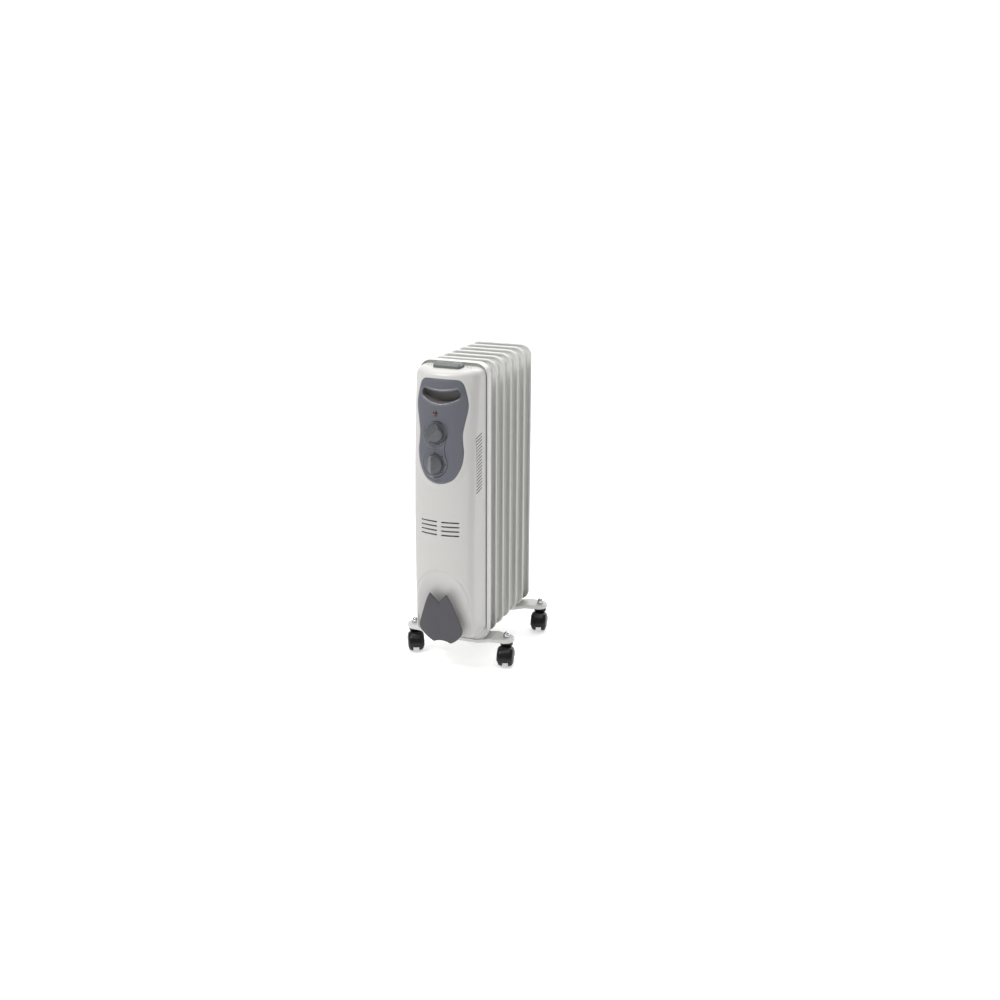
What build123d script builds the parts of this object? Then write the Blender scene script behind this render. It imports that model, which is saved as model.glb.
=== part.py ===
from build123d import *
import math
import os

# Oil filled radiator heater, millimetres.
# Frame: +Z up, the controls face -Y, the origin is on the floor under the middle of the heater.

# Radiator stack: pressed steel fins on two rows of collars.
FIN_COUNT = 7
FIN_PITCH = 38.8
FIN_WIDTH = 142.0
FIN_BOTTOM = 53.0
FIN_TOP = 630.0
FIN_CORNER_R = 24.0
FIRST_FIN_Y = -76.7
SHEET = 0.6
RIM_WIDTH = 4.0
RIM_HALF = 2.6
BEAD_INSET = 10.0
BEAD_WIDTH = 9.0
BEAD_HALF = 4.4
CHANNEL_WIDTH = 22.0
CHANNEL_X = 20.0
CHANNEL_HALF = 8.0
CHANNEL_WALL = 1.0
HEADER_HEIGHT = 18.0
BOSS_R = 24.0
BEAD_TAPER = 30.0
CHANNEL_TAPER = 25.0
BEAD_VOID_MARGIN = 3.2
CHANNEL_VOID_MARGIN = 4.6
RIM_EDGE_R = 1.4
COLLAR_R = 20.0
COLLAR_BORE_R = 16.0
COLLAR_INSET = 47.0
COLLAR_GAP = 0.05

# Heating element in the lower collars, and the closures of both rows.
ELEMENT_HALF_GAP = 6.5
ELEMENT_R = 4.0
ELEMENT_BACK_INSET = 24.0
ELEMENT_STUB = 12.0
FLANGE_R = 21.0
FLANGE_THICK = 3.0
GASKET_R = 20.0
GASKET_BORE_R = 15.0
GASKET_THICK = 1.5
PLUG_HEX_R = 18.0
PLUG_HEAD = 4.0
PLUG_NECK = 6.0
PLATE_OPENING_R = 24.0

FIN_HEIGHT = FIN_TOP - FIN_BOTTOM
FIN_MID_Z = (FIN_TOP + FIN_BOTTOM) / 2
LOWER_COLLAR_Z = FIN_BOTTOM + COLLAR_INSET
UPPER_COLLAR_Z = FIN_TOP - COLLAR_INSET
FIRST_BOSS_Y = FIRST_FIN_Y - CHANNEL_HALF

# Rear box: sheet steel skirt round the first fin, with a plate that carries the cover.
BOX_CLEARANCE = 0.5
BOX_SHEET = 1.2
BOX_FRONT_Y = FIRST_FIN_Y - 16.0
BOX_BACK_Y = FIRST_FIN_Y + 2.8
BOX_PLATE_Y = FIRST_BOSS_Y - 4.4

# Front cover: a bowed face that leans back towards the top, with tapered side walls.
COVER_BACK_Y = BOX_FRONT_Y - 1.5
COVER_HALF_WIDTH = 70.0
COVER_TOP = 628.0
COVER_BOTTOM = 70.0
COVER_CORNER_R = 22.0
COVER_TAPER = 7.0
COVER_DEPTH = 90.0
COVER_WALL = 2.5
COVER_EDGE_R = 8.0
FACE_AXIS_Y = -46.5
FACE_BOW_R = 120.0
FACE_LEAN_R = 3900.0
FACE_APEX_Z = 240.0
FACE_CURL_Z = 610.0
FACE_CURL_R = 17.0

# Vents in the cover.
FRONT_SLOT_ROWS = 4
FRONT_SLOT_TOP_Z = 324.3
FRONT_SLOT_PITCH = 8.9
FRONT_SLOT_HEIGHT = 2.9
FRONT_SLOT_INNER_X = 4.2
FRONT_SLOT_OUTER_X = 40.5
SIDE_SLOT_COUNT = 18
SIDE_SLOT_LOW_Z = 384.0
SIDE_SLOT_PITCH = 6.5
SIDE_SLOT_LENGTH = 24.0
SIDE_SLOT_HEIGHT = 2.4
SIDE_SLOT_Y = COVER_BACK_Y - 26.0
SIDE_SLOT_SLANT = 18.0
TOP_HOLE_X = (38.3, 45.7)
TOP_HOLE_R = 1.5
TOP_HOLE_Y = COVER_BACK_Y - 14.5

# Arched recess for the cord winder, sloping inwards towards the floor.
ARCH_HALF_WIDTH = 58.0
ARCH_TOP_Z = 223.0
ARCH_SPRING_Z = 145.0
ARCH_LEAN = 10.0
ARCH_CREST_DEPTH = 1.5

# Control panel and controls.
PANEL_THICK = 2.5
SEAT_GAP = 0.1
PANEL_EDGE_R = 1.2
CUP_DEPTH_Y = -128.0
CUP_WALL = 2.0
CONTROL_X = -8.5
LAMP_X = -9.0
LAMP_Z = 540.0
LAMP_R = 4.5
THERMOSTAT_Z = 502.0
SELECTOR_Z = 441.5
KNOB_R = 18.3
KNOB_SKIRT = 8.0
KNOB_HEIGHT = 13.5
KNOB_ROOF = 3.0
KNOB_RIDGE_WIDTH = 7.5
KNOB_GAP = 1.6
SHAFT_DEPTH = 20.0
THERMOSTAT_REST = -45.0
SELECTOR_REST = 0.0
SHAFT_R = 3.0
SHAFT_CLEARANCE = 0.05
SHAFT_HOLE_R = 5.6
BUSH_R = 5.0

# Grip on top of the cover.
GRIP_HALF_X = 29.0
GRIP_FRONT_Y = COVER_BACK_Y - 32.0
GRIP_BACK_Y = COVER_BACK_Y - 5.0
GRIP_TOP_Z = 632.5
GRIP_LOW_Z = 616.0
GRIP_CORNER_R = 6.0
GRIP_BEVEL = 3.5
GRIP_WALL = 2.5
GRIP_ROOF = 3.0

# Mains cord inlet.
BUSH_X = 20.0
BUSH_Y = COVER_BACK_Y - 14.0
BUSH_NECK_R = 6.0
BUSH_FLANGE_R = 8.0
CORD_R = 3.75

# Electrical parts on the rear box's plate, placed across and up.
CUTOUT_PLACE = (38.0, 150.0)
CUTOUT_R = 8.0
CUTOUT_HEIGHT = 7.0
TERMINAL_PLACE = (-34.0, 165.0)
TERMINAL_DEPTH = 13.0
TERMINAL_PITCH = 11.0
TERMINAL_HOLE_R = 2.6
WIRE_R = 1.2

# Cord winder.
WINDER_LEAN = 9.0
WINDER_PIVOT_Z = 120.0
WINDER_FACE_Y = -166.6
WINDER_THICK = 3.0
HUB_HALF_WIDTH = 24.0
HUB_HALF_HEIGHT = 30.0
HUB_WALL = 2.5

# Foot brackets, casters and their fasteners.
STEM_X = 104.8
FRONT_STEM_Y = -64.8
REAR_STEM_Y = 138.0
BRACKET_SHEET = 2.0
BRACKET_LIP = 8.0
BRACKET_TIP_Z = 57.0
BRACKET_MID_Z = 50.8
BRACKET_TIP_X = 120.7
BRACKET_HALF_WIDTH = 19.5
BRACKET_BOW = 33.0
BRACKET_RISE_X = 49.0
BRACKET_LEVEL_X = 77.0
STEM_R = 3.5
STEM_LOW_Z = 24.0
STEM_TOP_Z = 64.0
SHOULDER_R = 8.0
SHOULDER_LOW_Z = 46.6
NUT_ACROSS_FLATS = 13.0
NUT_HEX_HEIGHT = 5.5
NUT_DOME_R = 5.9
NUT_HEIGHT = 12.0
WHEEL_R = 19.5
WHEEL_WIDTH = 11.0
WHEEL_INNER_Y = 6.3
CASTER_OFFSET = 15.0
HOOD_R = 22.5
HOOD_WALL = 1.8
HOOD_HALF_WIDTH = 17.0
CASTER_WEB_HALF = 5.5
CASTER_TOP_Z = 46.0
AXLE_R = 2.5
U_BOLT_R = 2.5
U_BOLT_LOW_Z = 37.0
U_BOLT_X = COLLAR_R + 0.3 + U_BOLT_R
FRONT_BOLT_Y = FIRST_FIN_Y + FIN_PITCH / 2
REAR_BOLT_Y = FIRST_FIN_Y + (FIN_COUNT - 1.5) * FIN_PITCH
WING_NUT_R = 5.5
WING_NUT_HEIGHT = 6.0

# Screw positions across and up, and the radii of their holes and posts.
SCREW_CLEARANCE_R = 2.3
SCREW_PILOT_R = 1.6
POST_R = 4.5
PANEL_SCREW_HOLE_R = 1.7
PANEL_SCREW_PILOT_R = 1.5
HUB_PILOT_R = 1.3
COVER_SCREWS = [(-50.0, 602.0), (50.0, 602.0), (-52.0, 250.0), (52.0, 250.0)]
PANEL_SCREWS = [(-34.0, 594.0), (34.0, 594.0), (-28.0, 425.0), (28.0, 425.0)]
WINDER_SCREWS = [(-9.0, 120.0), (9.0, 120.0)]

# Trailing direction of each caster at rest, degrees from +X.
CASTERS = {
    "front_left": (-STEM_X, FRONT_STEM_Y, -60.0),
    "front_right": (STEM_X, FRONT_STEM_Y, -76.0),
    "rear_left": (-STEM_X, REAR_STEM_Y, 94.0),
    "rear_right": (STEM_X, REAR_STEM_Y, -78.0),
}


def front_plane(y):
    """Plane that faces the front at depth y: local x runs across, local y runs up."""
    return Plane(origin=(0, y, 0), x_dir=(1, 0, 0), z_dir=(0, -1, 0))


def rod(start, end, radius):
    """Round bar between two points."""
    axis = Vector(*end) - Vector(*start)
    return extrude(Plane(origin=start, z_dir=axis) * Circle(radius), amount=axis.length)


def group(shapes):
    """Separate solids kept together in one node."""
    return Compound(children=[s for shape in shapes for s in shape.solids()])


# ---------------------------------------------------------------- radiator stack

def fin_outline(inset):
    return RectangleRounded(FIN_WIDTH - 2 * inset, FIN_HEIGHT - 2 * inset, FIN_CORNER_R - inset)


def both_sides(sketch, height, taper=0.0):
    """Emboss that stands out of both faces of a fin."""
    front = extrude(sketch, amount=height, taper=taper)
    return front + mirror(front, about=Plane.XY)


def fin_channels(margin):
    """Outlines of the oil channels and of the bosses round the collars, shrunk by a margin."""
    reach = UPPER_COLLAR_Z - LOWER_COLLAR_Z
    outlines = []
    for x in (-CHANNEL_X, CHANNEL_X):
        outlines.append(Pos(x, 0) * Rot(0, 0, 90) * SlotCenterToCenter(reach, CHANNEL_WIDTH - 2 * margin))
    for y in (-reach / 2, reach / 2):
        outlines.append(Pos(0, y) * Circle(BOSS_R - margin))
    return outlines


def fin_headers(margin):
    """Outlines of the cross passages from the outer bead to the channels, shrunk by a margin."""
    reach = UPPER_COLLAR_Z - LOWER_COLLAR_Z
    width = FIN_WIDTH - 2 * BEAD_INSET - BEAD_WIDTH
    return [Pos(0, y) * Rectangle(width, HEADER_HEIGHT - 2 * margin) for y in (-reach / 2, reach / 2)]


def fin(closed_back):
    """One fin: two pressed sheets with a folded rim, an outer bead and hollow oil channels."""
    rim = extrude(fin_outline(0) - fin_outline(RIM_WIDTH), amount=RIM_HALF, both=True)
    rim = fillet(rim.edges().group_by(Axis.Z)[0] + rim.edges().group_by(Axis.Z)[-1], RIM_EDGE_R)
    bead = both_sides(fin_outline(BEAD_INSET), BEAD_HALF, taper=BEAD_TAPER)
    bead -= extrude(fin_outline(BEAD_INSET + BEAD_WIDTH), amount=2 * BEAD_HALF, both=True)
    body = both_sides(fin_outline(0), SHEET) + rim + bead
    for outline in fin_headers(0):
        body += both_sides(outline, BEAD_HALF, taper=BEAD_TAPER)
    for outline in fin_channels(0):
        body += both_sides(outline, CHANNEL_HALF, taper=CHANNEL_TAPER)
    ring_inner = fin_outline(BEAD_INSET + BEAD_WIDTH - CHANNEL_WALL)
    ring = fin_outline(BEAD_INSET + BEAD_VOID_MARGIN) - ring_inner
    void = both_sides(ring, BEAD_HALF - CHANNEL_WALL)
    for outline in fin_headers(BEAD_VOID_MARGIN):
        void += both_sides(outline, BEAD_HALF - CHANNEL_WALL)
    for outline in fin_channels(CHANNEL_VOID_MARGIN):
        void += both_sides(outline, CHANNEL_HALF - CHANNEL_WALL)
    body -= void
    reach = UPPER_COLLAR_Z - LOWER_COLLAR_Z
    for y in (-reach / 2, reach / 2):
        length = CHANNEL_HALF + 2 if closed_back else 2 * CHANNEL_HALF + 2
        middle = CHANNEL_HALF / 2 if closed_back else 0
        body -= Pos(0, y, middle) * Cylinder(COLLAR_BORE_R, length)
    return body


def place_fin(body, index):
    return front_plane(FIRST_FIN_Y + index * FIN_PITCH) * Pos(0, FIN_MID_Z, 0) * body


def collars(z):
    """Pressed collars that join neighbouring fins and let the oil through."""
    length = FIN_PITCH - 2 * CHANNEL_HALF - 2 * COLLAR_GAP
    rings = []
    for index in range(FIN_COUNT - 1):
        back_y = FIRST_FIN_Y + (index + 1) * FIN_PITCH - CHANNEL_HALF - COLLAR_GAP
        ring = Circle(COLLAR_R) - Circle(COLLAR_BORE_R)
        rings.append(extrude(front_plane(back_y) * Pos(0, z) * ring, amount=length))
    return group(rings)


def heating_element():
    """Sheathed hairpin element lying in the oil along the lower collars."""
    half_gap = ELEMENT_HALF_GAP
    back_y = FIRST_FIN_Y + (FIN_COUNT - 1) * FIN_PITCH - ELEMENT_BACK_INSET
    front_y = FIRST_BOSS_Y - ELEMENT_STUB
    path = Line((-half_gap, front_y, LOWER_COLLAR_Z), (-half_gap, back_y, LOWER_COLLAR_Z))
    path += ThreePointArc(
        (-half_gap, back_y, LOWER_COLLAR_Z),
        (0, back_y + half_gap, LOWER_COLLAR_Z),
        (half_gap, back_y, LOWER_COLLAR_Z),
    )
    path += Line((half_gap, back_y, LOWER_COLLAR_Z), (half_gap, front_y, LOWER_COLLAR_Z))
    return sweep(Plane(origin=path @ 0, z_dir=path % 0) * Circle(ELEMENT_R), path=path)


def element_flange():
    """Round steel flange that closes the lower boss and carries the element."""
    disc = Circle(FLANGE_R)
    for x in (-ELEMENT_HALF_GAP, ELEMENT_HALF_GAP):
        disc -= Pos(x, 0) * Circle(ELEMENT_R + COLLAR_GAP)
    seat_y = FIRST_BOSS_Y - GASKET_THICK - 2 * COLLAR_GAP
    return extrude(front_plane(seat_y) * Pos(0, LOWER_COLLAR_Z) * disc, amount=FLANGE_THICK)


def element_gasket():
    ring = Pos(0, LOWER_COLLAR_Z) * (Circle(GASKET_R) - Circle(GASKET_BORE_R))
    return extrude(front_plane(FIRST_BOSS_Y - COLLAR_GAP) * ring, amount=GASKET_THICK)


def filler_plug():
    """Hexagon plug that seals the oil filling hole in the upper boss."""
    plane = front_plane(FIRST_BOSS_Y)
    head = Pos(0, UPPER_COLLAR_Z) * RegularPolygon(PLUG_HEX_R, 6)
    neck = Pos(0, UPPER_COLLAR_Z) * Circle(COLLAR_BORE_R - COLLAR_GAP)
    return extrude(plane * head, amount=PLUG_HEAD) + extrude(plane * neck, amount=-PLUG_NECK)


# ---------------------------------------------------------------- housing

def rear_box():
    """Skirt round the first fin, with a plate that has openings for the element and the plug."""
    outer = fin_outline(-BOX_CLEARANCE - BOX_SHEET)
    inner = fin_outline(-BOX_CLEARANCE)
    depth = BOX_BACK_Y - BOX_FRONT_Y
    skirt = extrude(front_plane(BOX_BACK_Y) * Pos(0, FIN_MID_Z) * (outer - inner), amount=depth)
    plate = extrude(front_plane(BOX_PLATE_Y) * Pos(0, FIN_MID_Z) * inner, amount=BOX_SHEET)
    cuts = Sketch()
    for z in (LOWER_COLLAR_Z, UPPER_COLLAR_Z):
        cuts += Pos(0, z) * Circle(PLATE_OPENING_R)
    for x, z in COVER_SCREWS:
        cuts += Pos(x, z) * Circle(SCREW_CLEARANCE_R)
    plate -= extrude(front_plane(BOX_PLATE_Y + 1) * cuts, amount=BOX_SHEET + 2)
    return skirt + plate


def face_radius(z, proud=0.0):
    """Distance of the cover's face from its vertical bow axis at height z."""
    return FACE_BOW_R + proud - (z - FACE_APEX_Z) ** 2 / (2 * FACE_LEAN_R)


def face_frame(x, z):
    """Plane on the cover's face at x and z, with its normal pointing out of the face."""
    radius = face_radius(z)
    bow = math.asin(x / radius)
    normal = Vector(math.sin(bow), -math.cos(bow), (z - FACE_APEX_Z) / FACE_LEAN_R)
    origin = (x, FACE_AXIS_Y - radius * math.cos(bow), z)
    across = Vector(0, 0, 1).cross(normal)
    return Plane(origin=origin, x_dir=across, z_dir=normal)


def face_solid(proud):
    """Body of revolution whose outside is the cover's face, moved outwards by proud."""
    low_z = COVER_BOTTOM - 20.0
    curl_centre = FACE_AXIS_Y - face_radius(FACE_CURL_Z) + FACE_CURL_R
    curl_r = FACE_CURL_R + proud
    slope = (FACE_CURL_Z - FACE_APEX_Z) / FACE_LEAN_R
    mid_z = (low_z + FACE_CURL_Z) / 2
    low = (FACE_AXIS_Y - face_radius(low_z, proud), low_z)
    mid = (FACE_AXIS_Y - face_radius(mid_z, proud), mid_z)
    curl = (FACE_AXIS_Y - face_radius(FACE_CURL_Z, proud), FACE_CURL_Z)
    lean = math.atan(slope)
    turned = math.radians(45.0) + lean / 2
    bend = (curl_centre - curl_r * math.cos(turned), FACE_CURL_Z + curl_r * math.sin(turned))
    crown = (curl_centre, FACE_CURL_Z + curl_r)
    profile = ThreePointArc(low, mid, curl)
    profile += ThreePointArc(curl, bend, crown)
    profile += Polyline(crown, (FACE_AXIS_Y, crown[1]), (FACE_AXIS_Y, low_z), low)
    side = Plane(origin=(0, 0, 0), x_dir=(0, 1, 0), z_dir=(1, 0, 0))
    axis = Axis((0, FACE_AXIS_Y, 0), (0, 0, 1))
    return revolve(side * make_face(profile), axis=axis)


def cover_outline(inset):
    height = COVER_TOP - COVER_BOTTOM
    blank = RectangleRounded(2 * (COVER_HALF_WIDTH - inset), height - 2 * inset, COVER_CORNER_R - inset)
    return Pos(0, (COVER_TOP + COVER_BOTTOM) / 2) * blank


def cover_block(inset):
    """Solid that fills the cover, drawn in from its outside by inset."""
    back = front_plane(COVER_BACK_Y) * cover_outline(inset)
    return extrude(back, amount=COVER_DEPTH, taper=COVER_TAPER) & face_solid(-inset)


def arch_floor_y(z):
    """Depth of the sloping floor of the arched recess at height z."""
    crest_y = FACE_AXIS_Y - face_radius(ARCH_TOP_Z) + ARCH_CREST_DEPTH
    return crest_y + (ARCH_TOP_Z - z) * math.tan(math.radians(ARCH_LEAN))


def arch_cutter(grow):
    """Block that hollows the arched recess, enlarged by grow."""
    rise = ARCH_TOP_Z - ARCH_SPRING_Z + grow
    arch = Pos(0, ARCH_SPRING_Z) * Ellipse(ARCH_HALF_WIDTH + grow, rise)
    low_z = COVER_BOTTOM - 30.0
    legs = Rectangle(2 * (ARCH_HALF_WIDTH + grow), ARCH_SPRING_Z - low_z)
    legs = Pos(0, (ARCH_SPRING_Z + low_z) / 2) * legs
    block = extrude(front_plane(COVER_BACK_Y - 10) * (arch + legs), amount=120)
    origin = (0, arch_floor_y(ARCH_TOP_Z) + grow, ARCH_TOP_Z)
    floor_plane = Plane(origin=origin, z_dir=(0, -1, -math.tan(math.radians(ARCH_LEAN))))
    keep = extrude(floor_plane * Rectangle(400, 800), amount=200)
    return block & keep


def mirrored_face(points, tangents=None):
    """Closed face from the right half of an outline that starts and ends on the centre line."""
    right = Spline(*points, tangents=tangents) if tangents else Spline(*points)
    return make_face(right + mirror(right, about=Plane.YZ))


def panel_outline():
    """Waisted outline of the control panel."""
    points = [
        (0, 608), (30, 607), (41, 603), (48, 590), (54.5, 557), (49.8, 525), (46.2, 503),
        (47, 484), (48.7, 463), (44.5, 437), (32, 414), (16, 404), (0, 401),
    ]
    return mirrored_face(points, tangents=[(1, 0), (-1, 0)])


def hand_outline(grow):
    """Smile shaped opening of the hand recess."""
    edge = ThreePointArc((-35, 587), (0, 582), (35, 587))
    edge += ThreePointArc((35, 587), (40, 578.5), (36, 570.5))
    edge += ThreePointArc((36, 570.5), (0, 560), (-36, 570.5))
    edge += ThreePointArc((-36, 570.5), (-40, 578.5), (-35, 587))
    face = make_face(edge)
    return offset(face, grow) if grow else face


def front_slots():
    """Cutter for the two groups of slots in the face."""
    length = FRONT_SLOT_OUTER_X - FRONT_SLOT_INNER_X
    mid_x = (FRONT_SLOT_OUTER_X + FRONT_SLOT_INNER_X) / 2
    slots = Sketch()
    for row in range(FRONT_SLOT_ROWS):
        for x in (-mid_x, mid_x):
            z = FRONT_SLOT_TOP_Z - row * FRONT_SLOT_PITCH
            slots += Pos(x, z) * SlotOverall(length, FRONT_SLOT_HEIGHT)
    return extrude(front_plane(FACE_AXIS_Y - FACE_BOW_R + 25) * slots, amount=40)


def side_slots():
    """Cutter for the slanting slots in both side walls."""
    slots = Sketch()
    for row in range(SIDE_SLOT_COUNT):
        place = Pos(SIDE_SLOT_Y, SIDE_SLOT_LOW_Z + row * SIDE_SLOT_PITCH)
        slots += place * Rot(0, 0, SIDE_SLOT_SLANT) * SlotOverall(SIDE_SLOT_LENGTH, SIDE_SLOT_HEIGHT)
    side = Plane(origin=(50, 0, 0), x_dir=(0, 1, 0), z_dir=(1, 0, 0))
    right = extrude(side * slots, amount=30)
    return right + mirror(right, about=Plane.YZ)


def front_cover():
    """Moulded front cover: thin walls, vents, arched recess and screw posts."""
    outer = cover_block(0)
    front_edges = outer.edges().filter_by(lambda e: e.center().Y < COVER_BACK_Y - 5)
    outer = fillet(front_edges, COVER_EDGE_R)
    inner = cover_block(COVER_WALL)
    inner += extrude(front_plane(COVER_BACK_Y + 1) * cover_outline(COVER_WALL), amount=1.5)
    hollow = inner - arch_cutter(COVER_WALL)
    cover = outer - arch_cutter(0) - hollow
    post_plane = front_plane(BOX_PLATE_Y - BOX_SHEET - SEAT_GAP)
    post_room = cover_block(1.0) + extrude(front_plane(BOX_PLATE_Y) * cover_outline(4.0), amount=8)
    for x, z in COVER_SCREWS:
        cover += extrude(post_plane * Pos(x, z) * Circle(POST_R), amount=70) & post_room
        cover -= extrude(front_plane(BOX_PLATE_Y) * Pos(x, z) * Circle(SCREW_PILOT_R), amount=20)
    cover -= front_slots() + side_slots()
    for x in TOP_HOLE_X:
        for side in (-1, 1):
            cover -= rod((side * x, TOP_HOLE_Y, 600), (side * x, TOP_HOLE_Y, 640), TOP_HOLE_R)
    cover -= extrude(front_plane(COVER_BACK_Y - 20) * hand_outline(CUP_WALL + SEAT_GAP), amount=80)
    for z in (THERMOSTAT_Z, SELECTOR_Z):
        cover -= face_frame(CONTROL_X, z) * Cylinder(SHAFT_HOLE_R, 20)
    cover -= face_frame(LAMP_X, LAMP_Z) * Cylinder(LAMP_R + SEAT_GAP, 20)
    for x, z in PANEL_SCREWS:
        cover -= face_frame(x, z) * Cylinder(PANEL_SCREW_HOLE_R, 16)
    for x, z in WINDER_SCREWS:
        hole = Pos(x, z) * Circle(PANEL_SCREW_HOLE_R)
        cover -= extrude(front_plane(COVER_BACK_Y - 10) * hole, amount=80)
    cover -= bush_seat() * Cylinder(BUSH_NECK_R + SEAT_GAP, 20)
    cover -= grip_blank(SEAT_GAP)
    return cover


def grip_blank(grow):
    """Rounded block of the top grip, enlarged by grow."""
    width = 2 * (GRIP_HALF_X + grow)
    depth = GRIP_BACK_Y - GRIP_FRONT_Y + 2 * grow
    middle = (GRIP_BACK_Y + GRIP_FRONT_Y) / 2
    blank = RectangleRounded(width, depth, GRIP_CORNER_R)
    return Pos(0, middle, GRIP_LOW_Z) * extrude(blank, amount=30)


def top_grip():
    """Grip moulding let into the top of the cover, with a bevelled upper edge."""
    block = grip_blank(0)
    block &= Pos(0, 0, GRIP_TOP_Z - 50) * Box(200, 400, 100)
    block = chamfer(block.edges().group_by(Axis.Z)[-1], GRIP_BEVEL)
    under = grip_blank(-GRIP_WALL) & Pos(0, 0, GRIP_TOP_Z - GRIP_ROOF - 50) * Box(200, 400, 100)
    return block - under


def control_panel():
    """Waisted panel that follows the bow of the cover."""
    panel = face_solid(PANEL_THICK) - face_solid(SEAT_GAP)
    panel &= extrude(front_plane(COVER_BACK_Y - 30) * panel_outline(), amount=80)
    panel = Part(panel.solids().sort_by(Axis.Y)[0].wrapped)
    panel -= extrude(front_plane(COVER_BACK_Y - 20) * hand_outline(0), amount=80)
    for z in (THERMOSTAT_Z, SELECTOR_Z):
        panel -= face_frame(CONTROL_X, z) * Cylinder(SHAFT_R + 0.6, 20)
    panel -= face_frame(LAMP_X, LAMP_Z) * Cylinder(LAMP_R - 0.8, 20)
    for x, z in PANEL_SCREWS:
        panel -= face_frame(x, z) * Cylinder(PANEL_SCREW_PILOT_R, 3.4)
    return panel


def hand_recess():
    """Blind cup behind the panel that the fingers go into."""
    outer = extrude(front_plane(CUP_DEPTH_Y) * hand_outline(CUP_WALL), amount=60)
    inner = extrude(front_plane(CUP_DEPTH_Y - CUP_WALL) * hand_outline(0), amount=60)
    return (outer - inner) & face_solid(0)


def lamp_lens():
    """Small domed lens of the pilot light."""
    stem = extrude(Circle(LAMP_R - 0.9), amount=9.0)
    dome = Sphere(LAMP_R) & Pos(0, 0, 5) * Box(20, 20, 10)
    lens = Pos(0, 0, -5.0) * stem + Pos(0, 0, PANEL_THICK + SEAT_GAP) * dome
    return face_frame(LAMP_X, LAMP_Z) * lens


def lamp_holder():
    body = Circle(4.2) - Circle(LAMP_R - 0.85)
    tube = Pos(0, 0, -14.0) * extrude(body, amount=13.5)
    cap = Pos(0, 0, -16.0) * extrude(Circle(4.2), amount=2.0)
    return face_frame(LAMP_X, LAMP_Z) * (tube + cap)


# ---------------------------------------------------------------- controls

def knob(z, rest):
    """Knob with a tapered skirt and a raised grip across it."""
    skirt = extrude(Circle(KNOB_R), amount=KNOB_SKIRT, taper=6)
    skirt = fillet(skirt.edges().group_by(Axis.Z)[-1], 1.5)
    length = 2 * (KNOB_R - 1.2)
    ridge = extrude(Rectangle(KNOB_RIDGE_WIDTH, length), amount=KNOB_HEIGHT, taper=8)
    ridge = fillet(ridge.edges().group_by(Axis.Z)[-1], 1.8)
    ridge &= extrude(Circle(KNOB_R), amount=KNOB_HEIGHT, taper=6)
    body = skirt + ridge - extrude(Circle(SHAFT_R + SHAFT_CLEARANCE), amount=KNOB_HEIGHT - KNOB_ROOF)
    return face_frame(CONTROL_X, z) * Pos(0, 0, PANEL_THICK + KNOB_GAP) * Rot(0, 0, rest) * body


def control_shaft(z):
    """Round control shaft from the switch body into the knob."""
    length = SHAFT_DEPTH + PANEL_THICK + KNOB_GAP + KNOB_HEIGHT - KNOB_ROOF - 0.5
    return face_frame(CONTROL_X, z) * Pos(0, 0, -SHAFT_DEPTH) * extrude(Circle(SHAFT_R), amount=length)


def switch_body(z, width, height, depth):
    """Switch block behind the cover, with a bush that the shaft turns in."""
    front = -(COVER_WALL + 3.0)
    block = Pos(0, 0, front - depth / 2) * Box(width, height, depth)
    bush = Pos(0, 0, front) * extrude(Circle(BUSH_R), amount=4.5)
    bore = Pos(0, 0, -SHAFT_DEPTH - 0.2) * extrude(Circle(SHAFT_R + SHAFT_CLEARANCE), amount=40)
    return face_frame(CONTROL_X, z) * (block + bush - bore)


def thermal_cutout():
    """Disc thermostat that trips if the radiator overheats."""
    x, z = CUTOUT_PLACE
    plane = front_plane(BOX_PLATE_Y - BOX_SHEET - SEAT_GAP) * Pos(x, z)
    feet = extrude(plane * Rectangle(28.0, 7.0), amount=1.0)
    return feet + extrude(plane * Circle(CUTOUT_R), amount=CUTOUT_HEIGHT)


def terminal_block():
    plane = front_plane(BOX_PLATE_Y - BOX_SHEET - SEAT_GAP)
    x, z = TERMINAL_PLACE
    block = extrude(plane * Pos(x, z) * RectangleRounded(14, 38, 1.5), amount=TERMINAL_DEPTH)
    for rise in (-TERMINAL_PITCH, 0, TERMINAL_PITCH):
        well = Pos(x, z + rise, TERMINAL_DEPTH - 5) * extrude(Circle(TERMINAL_HOLE_R), amount=6)
        block -= plane * well
    return block


def wire(points, radius):
    """Insulated wire along straight runs with tangent bends."""
    path = FilletPolyline(*points, radius=radius)
    return sweep(Plane(origin=path @ 0, z_dir=path % 0) * Circle(WIRE_R), path=path)


def wiring_loom():
    """Wires from the terminal block to the switches, and from them to the element."""
    plate_y = BOX_PLATE_Y - BOX_SHEET
    deep_y = FIRST_BOSS_Y - 22
    feed = [
        (-34, plate_y - 17, 186),
        (-34, plate_y - 17, 300),
        (-30, plate_y - 22, 380),
        (-30, plate_y - 22, 420),
    ]
    live = [
        (-26, plate_y - 10, 186),
        (-22, plate_y - 10, 300),
        (16, plate_y - 14, 400),
        (16, plate_y - 14, 480),
    ]
    heat = [
        (ELEMENT_HALF_GAP, FIRST_BOSS_Y - ELEMENT_STUB - 2, LOWER_COLLAR_Z),
        (ELEMENT_HALF_GAP, deep_y, LOWER_COLLAR_Z),
        (20, deep_y, 130),
        (30, deep_y, 220),
        (30, deep_y, 420),
    ]
    earth = [(-34, plate_y - 8, 144), (-34, plate_y - 8, 126), (-18, plate_y - 8, 116)]
    wires = [wire(feed, 12), wire(live, 12), wire(heat, 3.5), wire(earth, 5)]
    return group(wires)


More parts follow.
